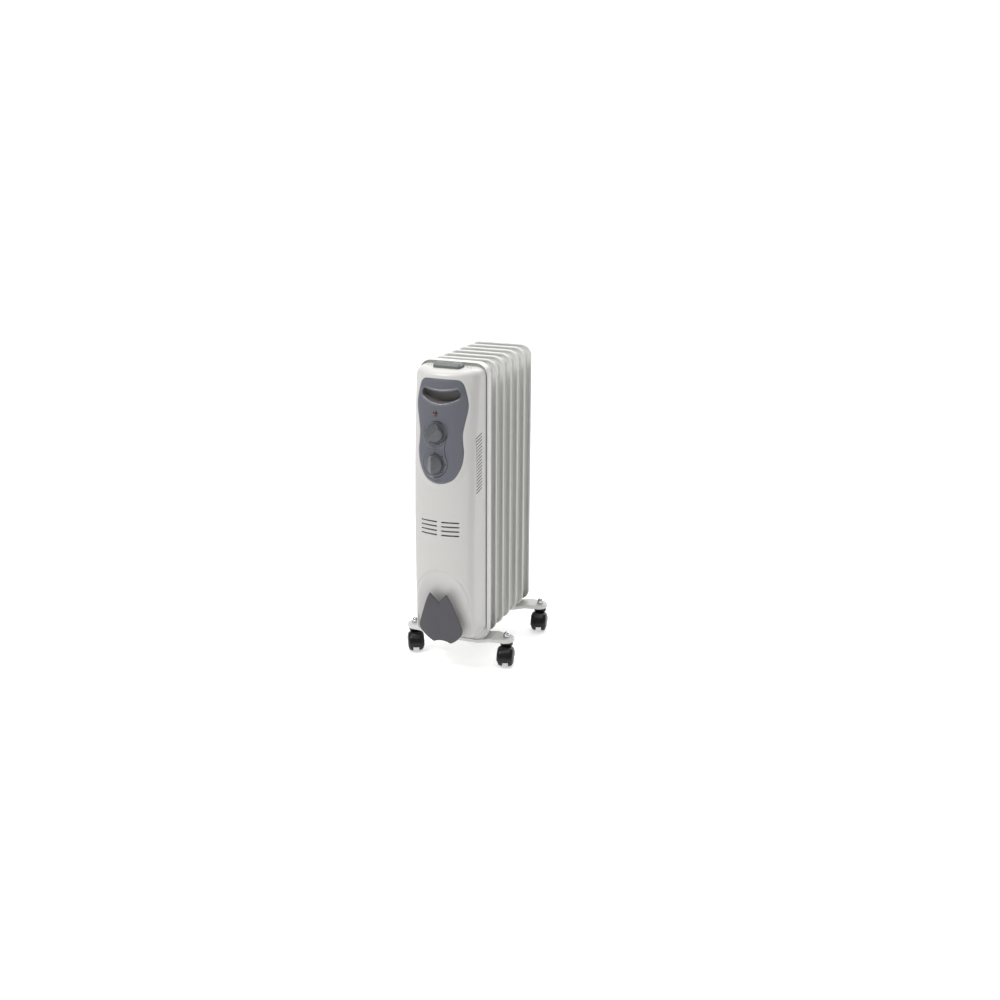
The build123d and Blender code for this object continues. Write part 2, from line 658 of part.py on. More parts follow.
def bush_seat():
    """Place of the bush, square to the drafted underside of the cover."""
    rise = (COVER_BACK_Y - BUSH_Y) * math.tan(math.radians(COVER_TAPER))
    return Pos(BUSH_X, BUSH_Y, COVER_BOTTOM + rise - SEAT_GAP) * Rot(-COVER_TAPER, 0, 0)


def cord_inlet_bush():
    """Rubber bush in the underside of the cover where the mains cord enters."""
    neck = Circle(BUSH_NECK_R) - Circle(CORD_R)
    flange = Circle(BUSH_FLANGE_R) - Circle(CORD_R)
    bush = extrude(neck, amount=COVER_WALL + 2 * SEAT_GAP)
    bush += Pos(0, 0, COVER_WALL + 2 * SEAT_GAP) * extrude(flange, amount=2.0)
    bush += Pos(0, 0, -3.0) * extrude(flange, amount=3.0)
    return bush_seat() * bush


# ---------------------------------------------------------------- cord winder

def winder_frame():
    """Plane of the winder's face, leaning back towards the floor."""
    lean = math.radians(WINDER_LEAN)
    normal = (0, -math.cos(lean), -math.sin(lean))
    return Plane(origin=(0, WINDER_FACE_Y, WINDER_PIVOT_Z), x_dir=(1, 0, 0), z_dir=normal)


def cord_winder():
    """Horned plate that holds the stored cord round its hub."""
    horn = Line((0, 38), (18, 58))
    flank = Spline(
        (18, 58), (27.5, 39), (38, 10), (46, -14), (47.5, -22), (44.5, -33), (33, -47), (19, -57)
    )
    foot = Spline((19, -57), (9, -53.2), (0, -52), tangents=[(-1, 0.1), (-1, 0)])
    right = horn + flank + foot
    outline = make_face(right + mirror(right, about=Plane.YZ))
    plate = extrude(winder_frame() * outline, amount=-WINDER_THICK)
    front = plate.faces().sort_by(Axis((0, 0, 0), tuple(winder_frame().z_dir)))[-1]
    plate = fillet(front.edges(), 1.0)
    for x, z in WINDER_SCREWS:
        plate -= extrude(front_plane(WINDER_FACE_Y + 10) * Pos(x, z) * Circle(HUB_PILOT_R), amount=9.0)
    return plate


def winder_hub():
    """Oval post between the recess and the winder plate."""
    inner = Ellipse(HUB_HALF_WIDTH - HUB_WALL, HUB_HALF_HEIGHT - HUB_WALL)
    ring = Pos(0, WINDER_PIVOT_Z) * (Ellipse(HUB_HALF_WIDTH, HUB_HALF_HEIGHT) - inner)
    posts = Pos(-9, WINDER_PIVOT_Z) * Circle(4.0) + Pos(9, WINDER_PIVOT_Z) * Circle(4.0)
    bridge = Pos(0, WINDER_PIVOT_Z) * Rectangle(43.5, 3.0)
    hub = extrude(front_plane(COVER_BACK_Y - 10) * (ring + posts + bridge), amount=90)
    behind = extrude(winder_frame() * Rectangle(300, 300), amount=-100)
    hub &= behind - extrude(winder_frame() * Rectangle(300, 300), amount=-WINDER_THICK - SEAT_GAP)
    hub &= arch_cutter(-SEAT_GAP)
    for x, z in WINDER_SCREWS:
        hub -= extrude(front_plane(COVER_BACK_Y - 10) * Pos(x, z) * Circle(HUB_PILOT_R), amount=90)
    return hub


# ---------------------------------------------------------------- fasteners

def pan_screw(length, head_r, shank_r):
    """Pan head screw whose head stands on the local plane and whose shank goes below it."""
    head = extrude(Circle(head_r), amount=1.8)
    head = fillet(head.edges().group_by(Axis.Z)[-1], 1.0)
    head -= Pos(0, 0, 1.8) * (Box(head_r * 1.2, 0.8, 1.6) + Box(0.8, head_r * 1.2, 1.6))
    return head + extrude(Circle(shank_r), amount=-length)


def cover_screws():
    back = Plane(origin=(0, BOX_PLATE_Y + 0.05, 0), x_dir=(-1, 0, 0), z_dir=(0, 1, 0))
    return group([back * Pos(-x, z, 0) * pan_screw(14, 3.6, 1.5) for x, z in COVER_SCREWS])


def panel_screws():
    """Screws driven from inside the cover into the panel."""
    screws = []
    for x, z in PANEL_SCREWS:
        seat = face_frame(x, z) * Pos(0, 0, -COVER_WALL - 0.6)
        screws.append(seat * Rot(180, 0, 0) * pan_screw(4.5, 3.0, 1.4))
    return group(screws)


def winder_screws():
    """Screws driven from inside the cover through the hub into the winder plate."""
    seat_y = arch_floor_y(WINDER_PIVOT_Z) + COVER_WALL + 0.7
    length = seat_y - WINDER_FACE_Y - 1.2
    back = Plane(origin=(0, seat_y, 0), x_dir=(-1, 0, 0), z_dir=(0, 1, 0))
    return group([back * Pos(-x, z, 0) * pan_screw(length, 3.0, 1.2) for x, z in WINDER_SCREWS])


# ---------------------------------------------------------------- feet

def bracket_profile(drop, deepen):
    """Side-to-side section of a bracket: low in the middle, raised at the tips."""
    top = [
        (0, BRACKET_MID_Z),
        (BRACKET_RISE_X, BRACKET_MID_Z),
        (BRACKET_LEVEL_X, BRACKET_TIP_Z),
        (130, BRACKET_TIP_Z),
    ]
    upper = [(-x, z - drop) for x, z in reversed(top[1:])] + [(x, z - drop) for x, z in top]
    lower = [(x, z + drop - BRACKET_LIP - deepen) for x, z in reversed(upper)]
    return Polyline(*upper, *lower, close=True)


def bracket_outline(inset):
    """Plan of a bracket: rounded tips and a front edge that bows outwards."""
    half = BRACKET_HALF_WIDTH - inset
    tip_x = BRACKET_TIP_X - inset
    side_x = BRACKET_TIP_X - BRACKET_HALF_WIDTH
    edge = ThreePointArc((-side_x, -half), (0, -BRACKET_BOW + inset), (side_x, -half))
    edge += ThreePointArc((side_x, -half), (tip_x, 0), (side_x, half))
    edge += ThreePointArc((side_x, half), (0, half + 4.0), (-side_x, half))
    edge += ThreePointArc((-side_x, half), (-tip_x, 0), (-side_x, -half))
    return make_face(edge)


def bracket(stem_y, bolt_y, facing):
    """Pressed foot bracket with a turned-down lip and holes for the stems and the U-bolt."""
    outer = extrude(Plane.XZ * make_face(bracket_profile(0, 0)), amount=60, both=True)
    outer &= extrude(bracket_outline(0), amount=100)
    hollow = extrude(Plane.XZ * make_face(bracket_profile(BRACKET_SHEET, 5.0)), amount=60, both=True)
    hollow &= extrude(bracket_outline(BRACKET_SHEET), amount=100)
    part = outer - hollow
    if facing > 0:
        part = mirror(part, about=Plane.XZ)
    part = Pos(0, stem_y, 0) * part
    for x in (-STEM_X, STEM_X):
        part -= Pos(x, stem_y, BRACKET_TIP_Z) * Cylinder(STEM_R + 0.2, 20)
    for x in (-U_BOLT_X, U_BOLT_X):
        part -= Pos(x, bolt_y, BRACKET_MID_Z) * Cylinder(U_BOLT_R + 0.3, 20)
    return part


def u_bolt(y):
    """Bolt bent over a lower collar, with both legs through the bracket."""
    path = Line((-U_BOLT_X, y, U_BOLT_LOW_Z), (-U_BOLT_X, y, LOWER_COLLAR_Z))
    path += ThreePointArc(
        (-U_BOLT_X, y, LOWER_COLLAR_Z), (0, y, LOWER_COLLAR_Z + U_BOLT_X), (U_BOLT_X, y, LOWER_COLLAR_Z)
    )
    path += Line((U_BOLT_X, y, LOWER_COLLAR_Z), (U_BOLT_X, y, U_BOLT_LOW_Z))
    return sweep(Plane(origin=path @ 0, z_dir=path % 0) * Circle(U_BOLT_R), path=path)


def wing_nut(x, y):
    """Wing nut under the bracket."""
    top = BRACKET_MID_Z - BRACKET_SHEET - 0.05
    wing = Polyline((4, 2.5), (12, -5.5), (14.5, -4), (12.5, 1.5), (6, 2.7), close=True)
    wings = extrude(Plane.XZ * make_face(wing), amount=1.0, both=True)
    wings += mirror(wings, about=Plane.YZ)
    body = Cylinder(WING_NUT_R, WING_NUT_HEIGHT) + wings
    body -= Cylinder(U_BOLT_R + 0.05, 20)
    return Pos(x, y, top - WING_NUT_HEIGHT / 2) * body


def cap_nut(x, y):
    """Domed chrome nut on top of a caster stem."""
    hexagon = extrude(RegularPolygon(NUT_ACROSS_FLATS / 2, 6, major_radius=False), amount=NUT_HEX_HEIGHT)
    dome = extrude(Circle(NUT_DOME_R), amount=NUT_HEIGHT - NUT_DOME_R)
    dome += Pos(0, 0, NUT_HEIGHT - NUT_DOME_R) * Sphere(NUT_DOME_R)
    dome &= Pos(0, 0, 10) * Box(20, 20, 20)
    body = hexagon + dome - Cylinder(STEM_R + 0.05, 2 * (STEM_TOP_Z - BRACKET_TIP_Z + 0.2))
    return Pos(x, y, BRACKET_TIP_Z + 0.05) * body


def caster_stem(x, y):
    """Stem with a shoulder under the bracket and a plain pin that the caster turns on."""
    pin = rod((x, y, STEM_LOW_Z), (x, y, STEM_TOP_Z), STEM_R)
    top = BRACKET_TIP_Z - BRACKET_SHEET - 0.05
    return pin + rod((x, y, SHOULDER_LOW_Z), (x, y, top), SHOULDER_R)


def caster_housing():
    """Caster body: hood over both wheels, a web between them and a boss for the stem."""
    wheel_plane = Plane(origin=(CASTER_OFFSET, 0, WHEEL_R), x_dir=(1, 0, 0), z_dir=(0, -1, 0))
    above = Pos(CASTER_OFFSET, 0, WHEEL_R - 3 + 50) * Box(100, 100, 100)
    shell = Circle(HOOD_R) - Circle(HOOD_R - HOOD_WALL)
    hood = extrude(wheel_plane * shell, amount=HOOD_HALF_WIDTH, both=True) & above
    web = extrude(wheel_plane * Circle(HOOD_R - 0.5), amount=CASTER_WEB_HALF, both=True)
    web &= Pos(CASTER_OFFSET, 0, WHEEL_R - 6 + 50) * Box(100, 100, 100)
    neck_height = CASTER_TOP_Z - STEM_LOW_Z
    neck = Pos(-1, 0, STEM_LOW_Z + neck_height / 2) * Box(14, 2 * CASTER_WEB_HALF, neck_height)
    neck = fillet(neck.edges().filter_by(Axis.Z), 3.0)
    cap = Pos(0, 0, CASTER_TOP_Z - 3) * Cylinder(9.0, 6)
    body = hood + web + neck + cap
    body -= Pos(0, 0, STEM_LOW_Z - 0.5 + 20) * Cylinder(STEM_R + SHAFT_CLEARANCE, 40)
    body -= extrude(wheel_plane * Circle(AXLE_R + SHAFT_CLEARANCE), amount=30, both=True)
    return body


def caster_axle():
    wheel_plane = Plane(origin=(CASTER_OFFSET, 0, WHEEL_R), x_dir=(1, 0, 0), z_dir=(0, -1, 0))
    return extrude(wheel_plane * Circle(AXLE_R), amount=WHEEL_INNER_Y + WHEEL_WIDTH - 2.5, both=True)


def caster_wheel(side):
    """Moulded wheel with a rounded tread and a shallow dished face."""
    hub = (CASTER_OFFSET, side * WHEEL_INNER_Y, WHEEL_R)
    inner = Plane(origin=hub, x_dir=(1, 0, 0), z_dir=(0, side, 0))
    disc = extrude(Circle(WHEEL_R), amount=WHEEL_WIDTH)
    disc = fillet(disc.edges().group_by(Axis.Z)[-1], 3.0)
    disc = fillet(disc.edges().group_by(Axis.Z)[0], 0.8)
    disc -= Pos(0, 0, WHEEL_WIDTH - 1.0) * extrude(Circle(12.5) - Circle(5.0), amount=2.0)
    disc -= Pos(0, 0, -0.5) * extrude(Circle(AXLE_R + SHAFT_CLEARANCE), amount=WHEEL_WIDTH - 1.6)
    return inner * disc


def place_caster(name, body):
    x, y, angle = CASTERS[name]
    return Pos(x, y, 0) * Rot(0, 0, angle) * body


# ---------------------------------------------------------------- assembly

def build_nodes():
    """Every node of the heater by name."""
    nodes = {}
    stamped = fin(closed_back=False)
    for index in range(FIN_COUNT):
        body = fin(closed_back=True) if index == FIN_COUNT - 1 else stamped
        nodes[f"fin_{index + 1}"] = place_fin(body, index)
    nodes["upper_collars"] = collars(UPPER_COLLAR_Z)
    nodes["lower_collars"] = collars(LOWER_COLLAR_Z)
    nodes["heating_element"] = heating_element()
    nodes["element_flange"] = element_flange()
    nodes["element_gasket"] = element_gasket()
    nodes["filler_plug"] = filler_plug()
    nodes["rear_box"] = rear_box()
    nodes["front_cover"] = front_cover()
    nodes["control_panel"] = control_panel()
    nodes["hand_recess"] = hand_recess()
    nodes["top_grip"] = top_grip()
    nodes["lamp_lens"] = lamp_lens()
    nodes["lamp_holder"] = lamp_holder()
    nodes["thermostat_body"] = switch_body(THERMOSTAT_Z, 30, 34, 20)
    nodes["selector_switch_body"] = switch_body(SELECTOR_Z, 28, 28, 22)
    nodes["thermostat_shaft"] = control_shaft(THERMOSTAT_Z)
    nodes["selector_shaft"] = control_shaft(SELECTOR_Z)
    nodes["thermostat_knob"] = knob(THERMOSTAT_Z, THERMOSTAT_REST)
    nodes["selector_knob"] = knob(SELECTOR_Z, SELECTOR_REST)
    nodes["thermal_cutout"] = thermal_cutout()
    nodes["terminal_block"] = terminal_block()
    nodes["wiring_loom"] = wiring_loom()
    nodes["cord_inlet_bush"] = cord_inlet_bush()
    nodes["cord_winder"] = cord_winder()
    nodes["winder_hub"] = winder_hub()
    nodes["cover_screws"] = cover_screws()
    nodes["panel_screws"] = panel_screws()
    nodes["winder_screws"] = winder_screws()
    nodes["front_bracket"] = bracket(FRONT_STEM_Y, FRONT_BOLT_Y, facing=-1)
    nodes["rear_bracket"] = bracket(REAR_STEM_Y, REAR_BOLT_Y, facing=1)
    nodes["u_bolts"] = group([u_bolt(FRONT_BOLT_Y), u_bolt(REAR_BOLT_Y)])
    bolt_places = [(x, y) for y in (FRONT_BOLT_Y, REAR_BOLT_Y) for x in (-U_BOLT_X, U_BOLT_X)]
    nodes["wing_nuts"] = group([wing_nut(x, y) for x, y in bolt_places])
    nodes["cap_nuts"] = group([cap_nut(x, y) for x, y, angle in CASTERS.values()])
    nodes["caster_stems"] = group([caster_stem(x, y) for x, y, angle in CASTERS.values()])
    for name in CASTERS:
        nodes[f"caster_{name}_housing"] = place_caster(name, caster_housing())
        nodes[f"caster_{name}_axle"] = place_caster(name, caster_axle())
        nodes[f"caster_{name}_wheel_a"] = place_caster(name, caster_wheel(-1))
        nodes[f"caster_{name}_wheel_b"] = place_caster(name, caster_wheel(1))
    return nodes


def main():
    os.makedirs("parts", exist_ok=True)
    for name, shape in build_nodes().items():
        export_step(shape, f"parts/{name}.step")


main()
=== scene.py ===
import math

import bmesh
import bpy
import numpy as np
from mathutils import Matrix, Vector


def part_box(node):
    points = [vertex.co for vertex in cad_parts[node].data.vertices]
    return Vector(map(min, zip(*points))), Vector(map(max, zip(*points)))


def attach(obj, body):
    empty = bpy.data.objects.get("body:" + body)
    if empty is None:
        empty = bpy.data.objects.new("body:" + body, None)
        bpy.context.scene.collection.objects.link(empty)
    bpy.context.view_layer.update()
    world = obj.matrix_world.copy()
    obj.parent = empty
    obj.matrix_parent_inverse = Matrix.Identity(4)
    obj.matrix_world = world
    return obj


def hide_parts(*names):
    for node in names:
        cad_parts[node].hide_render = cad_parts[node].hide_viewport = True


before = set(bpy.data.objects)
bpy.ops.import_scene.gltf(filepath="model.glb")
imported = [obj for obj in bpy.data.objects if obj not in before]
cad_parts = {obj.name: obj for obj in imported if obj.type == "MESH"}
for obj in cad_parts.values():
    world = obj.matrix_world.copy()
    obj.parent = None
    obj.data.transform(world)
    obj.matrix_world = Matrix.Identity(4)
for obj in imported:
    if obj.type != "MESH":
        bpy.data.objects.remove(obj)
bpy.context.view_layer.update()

bl_info = {
    "name": "Oil Filled Radiator Looks",
    "version": (1, 0, 0),
    "blender": (4, 5, 0),
    "location": "3D View > Sidebar > Radiator",
    "description": "Builds the visible skins, the finishes and the studio of an oil filled radiator heater",
    "category": "Add Mesh",
}

MM = 0.001
HEATER = "heater"
FIN_NAMES = [f"fin_{index + 1}" for index in range(7)]
CASTER_NAMES = ["front_left", "front_right", "rear_left", "rear_right"]


def box_mm(node):
    """Lowest and highest corner of a CAD node, in millimetres."""
    low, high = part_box(node)
    return np.array(low) / MM, np.array(high) / MM


# ------------------------------------------------------------------ settings

def length(name, description, default):
    """A size in millimetres that a user may change."""
    return bpy.props.FloatProperty(name=name, description=description, default=default, min=0.0)


def paint(name, description, default):
    """A linear colour that a user may change."""
    return bpy.props.FloatVectorProperty(
        name=name, description=description, default=default, size=3, min=0.0, max=1.0, subtype="COLOR"
    )


class RADIATOR_PG_sizes(bpy.types.PropertyGroup):
    """Sizes of the moulded and pressed skins, in millimetres."""

    wall: length("Wall", "Thickness of the cover's wall", 2.5)
    edge_round: length("Edge rounding", "Softness of the cover's front edges", 9.0)
    bow_radius: length("Bow radius", "Radius of the face across the heater", 120.0)
    lean_radius: length("Lean radius", "Radius of the face from floor to top", 3900.0)
    apex_height: length("Apex height", "Height where the face stands furthest forward", 240.0)
    curl_height: length("Curl height", "Height where the face starts to curl back into the top", 610.0)
    curl_radius: length("Curl radius", "Radius of the curl at the top of the face", 17.0)
    corner: length("Cover corner", "Radius of the cover's corners seen from the front", 22.0)
    fin_corner: length("Fin corner", "Radius of the fins' corners", 24.0)
    arch_edge: length("Arch edge", "Half width of the soft edge round the arched recess", 1.5)
    panel_proud: length("Panel proud", "Height of the control panel above the cover", 2.9)
    panel_bevel: length("Panel bevel", "Width of the panel's bevelled rim", 5.2)
    knob_radius: length("Knob radius", "Radius of both control knobs", 18.2)
    knob_height: length("Knob height", "Height of the grip across a knob", 13.4)
    wheel_radius: length("Wheel radius", "Radius of the caster wheels", 19.5)


class RADIATOR_PG_finishes(bpy.types.PropertyGroup):
    """Colours of the finishes."""

    enamel: paint("Enamel", "Baked enamel of the fins and brackets", (0.60, 0.60, 0.58))
    cover: paint("Cover", "Moulded white of the front cover", (0.52, 0.515, 0.50))
    panel: paint("Panel", "Grey of the control panel", (0.095, 0.099, 0.120))
    knob: paint("Knob", "Grey of the knobs", (0.070, 0.073, 0.082))
    winder: paint("Winder", "Dark grey of the cord winder", (0.054, 0.053, 0.063))
    grip: paint("Grip", "Grey of the top grip", (0.11, 0.119, 0.116))
    recess: paint("Recess", "Grey inside the hand recess", (0.16, 0.145, 0.145))
    lamp: paint("Lamp", "Red of the pilot lamp", (0.055, 0.004, 0.004))
    caster: paint("Caster", "Black of the casters", (0.006, 0.006, 0.007))


class RADIATOR_PG_stage(bpy.types.PropertyGroup):
    """Camera and light."""

    lens: bpy.props.FloatProperty(name="Lens", description="Focal length", default=43.39, unit="CAMERA")
    place: bpy.props.FloatVectorProperty(
        name="Camera place", description="Where the camera stands",
        default=(0.94633, -2.21122, 1.05667), unit="LENGTH"
    )
    yaw: bpy.props.FloatProperty(
        name="Yaw", description="Turn round the heater", default=math.radians(21.78), unit="ROTATION"
    )
    pitch: bpy.props.FloatProperty(
        name="Pitch", description="Look down", default=math.radians(16.96), unit="ROTATION"
    )
    roll: bpy.props.FloatProperty(
        name="Roll", description="Lean of the picture", default=math.radians(0.26), unit="ROTATION"
    )
    ambient: bpy.props.FloatProperty(
        name="Ambient", description="Strength of the white surroundings", default=0.42
    )
    key: bpy.props.FloatProperty(name="Key", description="Power of the overhead light in watts", default=6.5)
    rear: bpy.props.FloatProperty(name="Rear", description="Power of the light on the backdrop", default=70.0)


def sizes():
    return bpy.context.scene.radiator_sizes


def finishes():
    return bpy.context.scene.radiator_finishes


# ------------------------------------------------------------------ shader maths

class Value:
    """A shader socket that takes part in Python arithmetic through Math nodes."""

    def __init__(self, shader, socket):
        self.shader = shader
        self.socket = socket

    def combine(self, operation, first, second):
        return self.shader.node("ShaderNodeMath", {"operation": operation}, {0: first, 1: second})

    def __add__(self, other):
        return self.combine("ADD", self, other)

    def __radd__(self, other):
        return self.combine("ADD", other, self)

    def __sub__(self, other):
        return self.combine("SUBTRACT", self, other)

    def __rsub__(self, other):
        return self.combine("SUBTRACT", other, self)

    def __mul__(self, other):
        return self.combine("MULTIPLY", self, other)

    def __rmul__(self, other):
        return self.combine("MULTIPLY", other, self)

    def __pow__(self, other):
        return self.combine("POWER", self, other)


class Shader:
    """One material with a Principled surface that reads Object coordinates."""

    def __init__(self, name, **constants):
        self.material = bpy.data.materials.new(f"{name}_finish")
        self.material.use_nodes = True
        self.tree = self.material.node_tree
        self.surface = self.tree.nodes["Principled BSDF"]
        self.place = self.node("ShaderNodeTexCoord", output="Object")
        for socket, value in constants.items():
            self.surface.inputs[socket.replace("_", " ")].default_value = value

    def node(self, kind, settings=None, inputs=None, output=0):
        """Adds a node, sets its settings first and its sockets second, and returns one output."""
        made = self.tree.nodes.new(kind)
        for key, value in (settings or {}).items():
            if key == "stops":
                self.set_stops(made.color_ramp, value)
            else:
                setattr(made, key, value)
        for key, value in (inputs or {}).items():
            if isinstance(value, Value):
                self.tree.links.new(value.socket, made.inputs[key])
            else:
                made.inputs[key].default_value = value
        return Value(self, made.outputs[output])

    @staticmethod
    def set_stops(ramp, stops):
        while len(ramp.elements) < len(stops):
            ramp.elements.new(0.5)
        for element, (position, level) in zip(ramp.elements, stops):
            element.position = position
            element.color = (level, level, level, 1.0)

    def feed(self, socket, value):
        self.tree.links.new(value.socket, self.surface.inputs[socket])

    def noise(self, scale, detail=4.0, rough=0.55, stretch=(1.0, 1.0, 1.0)):
        where = self.node("ShaderNodeMapping", {}, {"Vector": self.place, "Scale": stretch})
        return self.node(
            "ShaderNodeTexNoise", {}, {"Vector": where, "Scale": scale, "Detail": detail, "Roughness": rough}
        )

    def band(self, value, low, high):
        """0 below low, 1 above high, with a straight slope between them."""
        return self.node("ShaderNodeMapRange", {}, {0: value, 1: low, 2: high, 3: 0.0, 4: 1.0})

    def mix(self, factor, first, second):
        return self.node(
            "ShaderNodeMix", {"data_type": "RGBA"}, {0: factor, 6: first, 7: second}, output=2
        )

    def bump(self, height, strength, distance):
        return self.node(
            "ShaderNodeBump", {}, {"Height": height, "Strength": strength, "Distance": distance}
        )


def rgba(colour, scale=1.0):
    return tuple(min(1.0, channel * scale) for channel in colour) + (1.0,)


def edge_highlight_mask(shader, low=0.52, high=0.62):
    """Bright on convex edges, from the mesh's pointiness."""
    raw = shader.node("ShaderNodeNewGeometry", output="Pointiness")
    return shader.band(raw, low, high)


def enamel_material(name, colour, rough):
    """Baked enamel on sheet steel: faint orange peel, dust low down and slight tone drift."""
    shader = Shader(name, Coat_Weight=0.25, Coat_Roughness=0.12)
    drift = shader.noise(5.0, 3.0)
    dust = shader.band(shader.noise(38.0, 6.0, 0.7), 0.48, 0.80)
    toned = shader.mix(drift, rgba(colour, 0.965), rgba(colour, 1.03))
    shader.feed("Base Color", shader.mix(dust * 0.10, toned, rgba(colour, 0.82)))
    shader.feed("Roughness", rough + dust * 0.10 + drift * 0.05)
    peel = shader.noise(420.0, 2.0, 0.4) + shader.noise(1500.0, 2.0, 0.5) * 0.3
    shader.feed("Normal", shader.bump(peel, 0.12, 0.0004))
    return shader.material


def moulded_material(name, colour, rough, grain=1500.0, relief=0.25, highlight=0.10, coat=0.0, shine=0.5):
    """Injection moulded plastic: eroded grain, faint flow tone and lighter rubbed edges."""
    shader = Shader(name, Coat_Weight=coat, Coat_Roughness=0.10, Specular_IOR_Level=shine)
    flow = shader.noise(7.0, 3.0, 0.5, stretch=(1.0, 1.0, 0.45))
    smudge = shader.band(shader.noise(24.0, 5.0, 0.65), 0.46, 0.74)
    edge_highlight = edge_highlight_mask(shader)
    toned = shader.mix(flow, rgba(colour, 0.95), rgba(colour, 1.05))
    # Painted highlight: convex edges are lightened towards a pale grey, and their roughness drops a little.
    edge_lit = shader.mix(edge_highlight * highlight, toned, rgba([0.5 * channel + 0.35 for channel in colour]))
    shader.feed("Base Color", edge_lit)
    shader.feed("Roughness", rough + smudge * 0.08 - edge_highlight * 0.06)
    cells = shader.node(
        "ShaderNodeTexVoronoi", {}, {"Vector": shader.place, "Scale": grain, "Randomness": 1.0}
    )
    pebble = cells * 0.6 + shader.noise(grain * 0.8, 3.0, 0.6) * 0.6
    shader.feed("Normal", shader.bump(pebble, relief, 0.00012))
    return shader.material


def steel_material(name, colour, rough, scale=900.0, relief=0.15):
    """Plated steel with fine drawn lines and cloudy patches."""
    shader = Shader(name, Metallic=1.0)
    lines = shader.noise(scale, 3.0, 0.6, stretch=(1.0, 1.0, 0.06))
    cloud = shader.noise(60.0, 4.0, 0.6)
    shader.feed("Base Color", shader.mix(cloud, rgba(colour, 0.82), rgba(colour, 1.08)))
    shader.feed("Roughness", rough + lines * 0.10 + cloud * 0.06)
    shader.feed("Normal", shader.bump(lines, relief, 0.00005))
    return shader.material


def chrome_material(name):
    """Bright chrome with hairline scratches and a few dull specks."""
    shader = Shader(name, Metallic=1.0)
    scratches = shader.band(shader.noise(1400.0, 2.0, 0.4, stretch=(0.08, 1.0, 1.0)), 0.60, 0.78)
    specks = shader.band(shader.noise(700.0, 4.0, 0.6), 0.66, 0.74)
    shader.feed("Base Color", shader.mix(specks, (0.55, 0.55, 0.57, 1.0), (0.35, 0.34, 0.33, 1.0)))
    shader.feed("Roughness", 0.06 + scratches * 0.16 + specks * 0.25)
    shader.feed("Normal", shader.bump(scratches, 0.05, 0.00002))
    return shader.material


def lamp_material(name, colour):
    """Clear red lens with a darker core."""
    shader = Shader(name, Coat_Weight=0.6, Coat_Roughness=0.04)
    ribs = shader.noise(900.0, 2.0, 0.5)
    shader.feed("Base Color", shader.mix(ribs, rgba(colour, 0.7), rgba(colour, 1.5)))
    shader.feed("Roughness", 0.14 + ribs * 0.10)
    shader.feed("Normal", shader.bump(ribs, 0.15, 0.00008))
    return shader.material


def ink_and_shadow_material(name, colour):
    """Pad printed ink with slightly broken coverage."""
    shader = Shader(name)
    broken = shader.band(shader.noise(2600.0, 3.0, 0.6), 0.60, 0.80)
    shader.feed("Base Color", shader.mix(broken, rgba(colour), rgba(colour, 1.8)))
    shader.feed("Roughness", 0.42 + broken * 0.2)
    return shader.material


MATERIALS = {}


def make_materials():
    """Every finish of the heater, by the record's slot names where it has one."""
    colours = finishes()
    MATERIALS["fin_enamel"] = enamel_material("fin_enamel", colours.enamel, 0.34)
    # Painted light: the brackets take a 4% lighter copy of the fins' enamel.
    MATERIALS["bracket_white"] = enamel_material("bracket_white", [c * 1.04 for c in colours.enamel], 0.32)
    # Painted shade: the rear box's skirt takes an 8% darker copy of the fins' enamel.
    MATERIALS["box_enamel"] = enamel_material("box_enamel", [c * 0.92 for c in colours.enamel], 0.30)
    MATERIALS["collar_steel"] = enamel_material("collar_steel", [c * 0.96 for c in colours.enamel], 0.38)
    MATERIALS["cover_white"] = moulded_material("cover_white", colours.cover, 0.36, 1800.0, 0.12, 0.0, 0.12)
    MATERIALS["panel_grey"] = moulded_material(
        "panel_grey", colours.panel, 0.36, 1500.0, 0.16, 0.10, 0.10, 0.6
    )
    MATERIALS["knob_grey"] = moulded_material("knob_grey", colours.knob, 0.27, 2200.0, 0.10, 0.16, 0.15, 0.6)
    MATERIALS["winder_grey"] = moulded_material("winder_grey", colours.winder, 0.52, 1300.0, 0.30, 0.10)
    MATERIALS["grip_grey"] = moulded_material("grip_grey", colours.grip, 0.44, 1500.0, 0.20, 0.12)
    MATERIALS["recess_grey"] = moulded_material("recess_grey", colours.recess, 0.40, 1500.0, 0.20, 0.06)
    MATERIALS["caster_black"] = moulded_material(
        "caster_black", colours.caster, 0.24, 1900.0, 0.12, 0.02, 0.0, 0.3
    )
    MATERIALS["wheel_black"] = moulded_material(
        "wheel_black", [c * 0.8 + 0.001 for c in colours.caster], 0.34, 1100.0, 0.18, 0.02, 0.0, 0.25
    )
    MATERIALS["switch_plastic"] = moulded_material("switch_plastic", (0.60, 0.56, 0.46), 0.5)
    MATERIALS["lamp_body"] = moulded_material("lamp_body", (0.62, 0.62, 0.60), 0.5)
    MATERIALS["terminal_plastic"] = moulded_material("terminal_plastic", (0.66, 0.66, 0.62), 0.5)
    MATERIALS["wire_sleeve"] = moulded_material("wire_sleeve", (0.12, 0.10, 0.38), 0.45)
    MATERIALS["seal_rubber"] = moulded_material("seal_rubber", (0.022, 0.022, 0.022), 0.68, 900.0, 0.4, 0.0)
    MATERIALS["chrome_nut"] = chrome_material("chrome_nut")
    MATERIALS["zinc_steel"] = steel_material("zinc_steel", (0.50, 0.50, 0.49), 0.30)
    MATERIALS["element_steel"] = steel_material("element_steel", (0.30, 0.30, 0.29), 0.40)
    MATERIALS["dark_screw"] = steel_material("dark_screw", (0.06, 0.06, 0.065), 0.42)
    MATERIALS["lamp_red"] = lamp_material("lamp_red", colours.lamp)
    MATERIALS["ink_and_shadow_black"] = ink_and_shadow_material("ink_and_shadow_black", (0.006, 0.006, 0.007))


# ------------------------------------------------------------------ mesh helpers

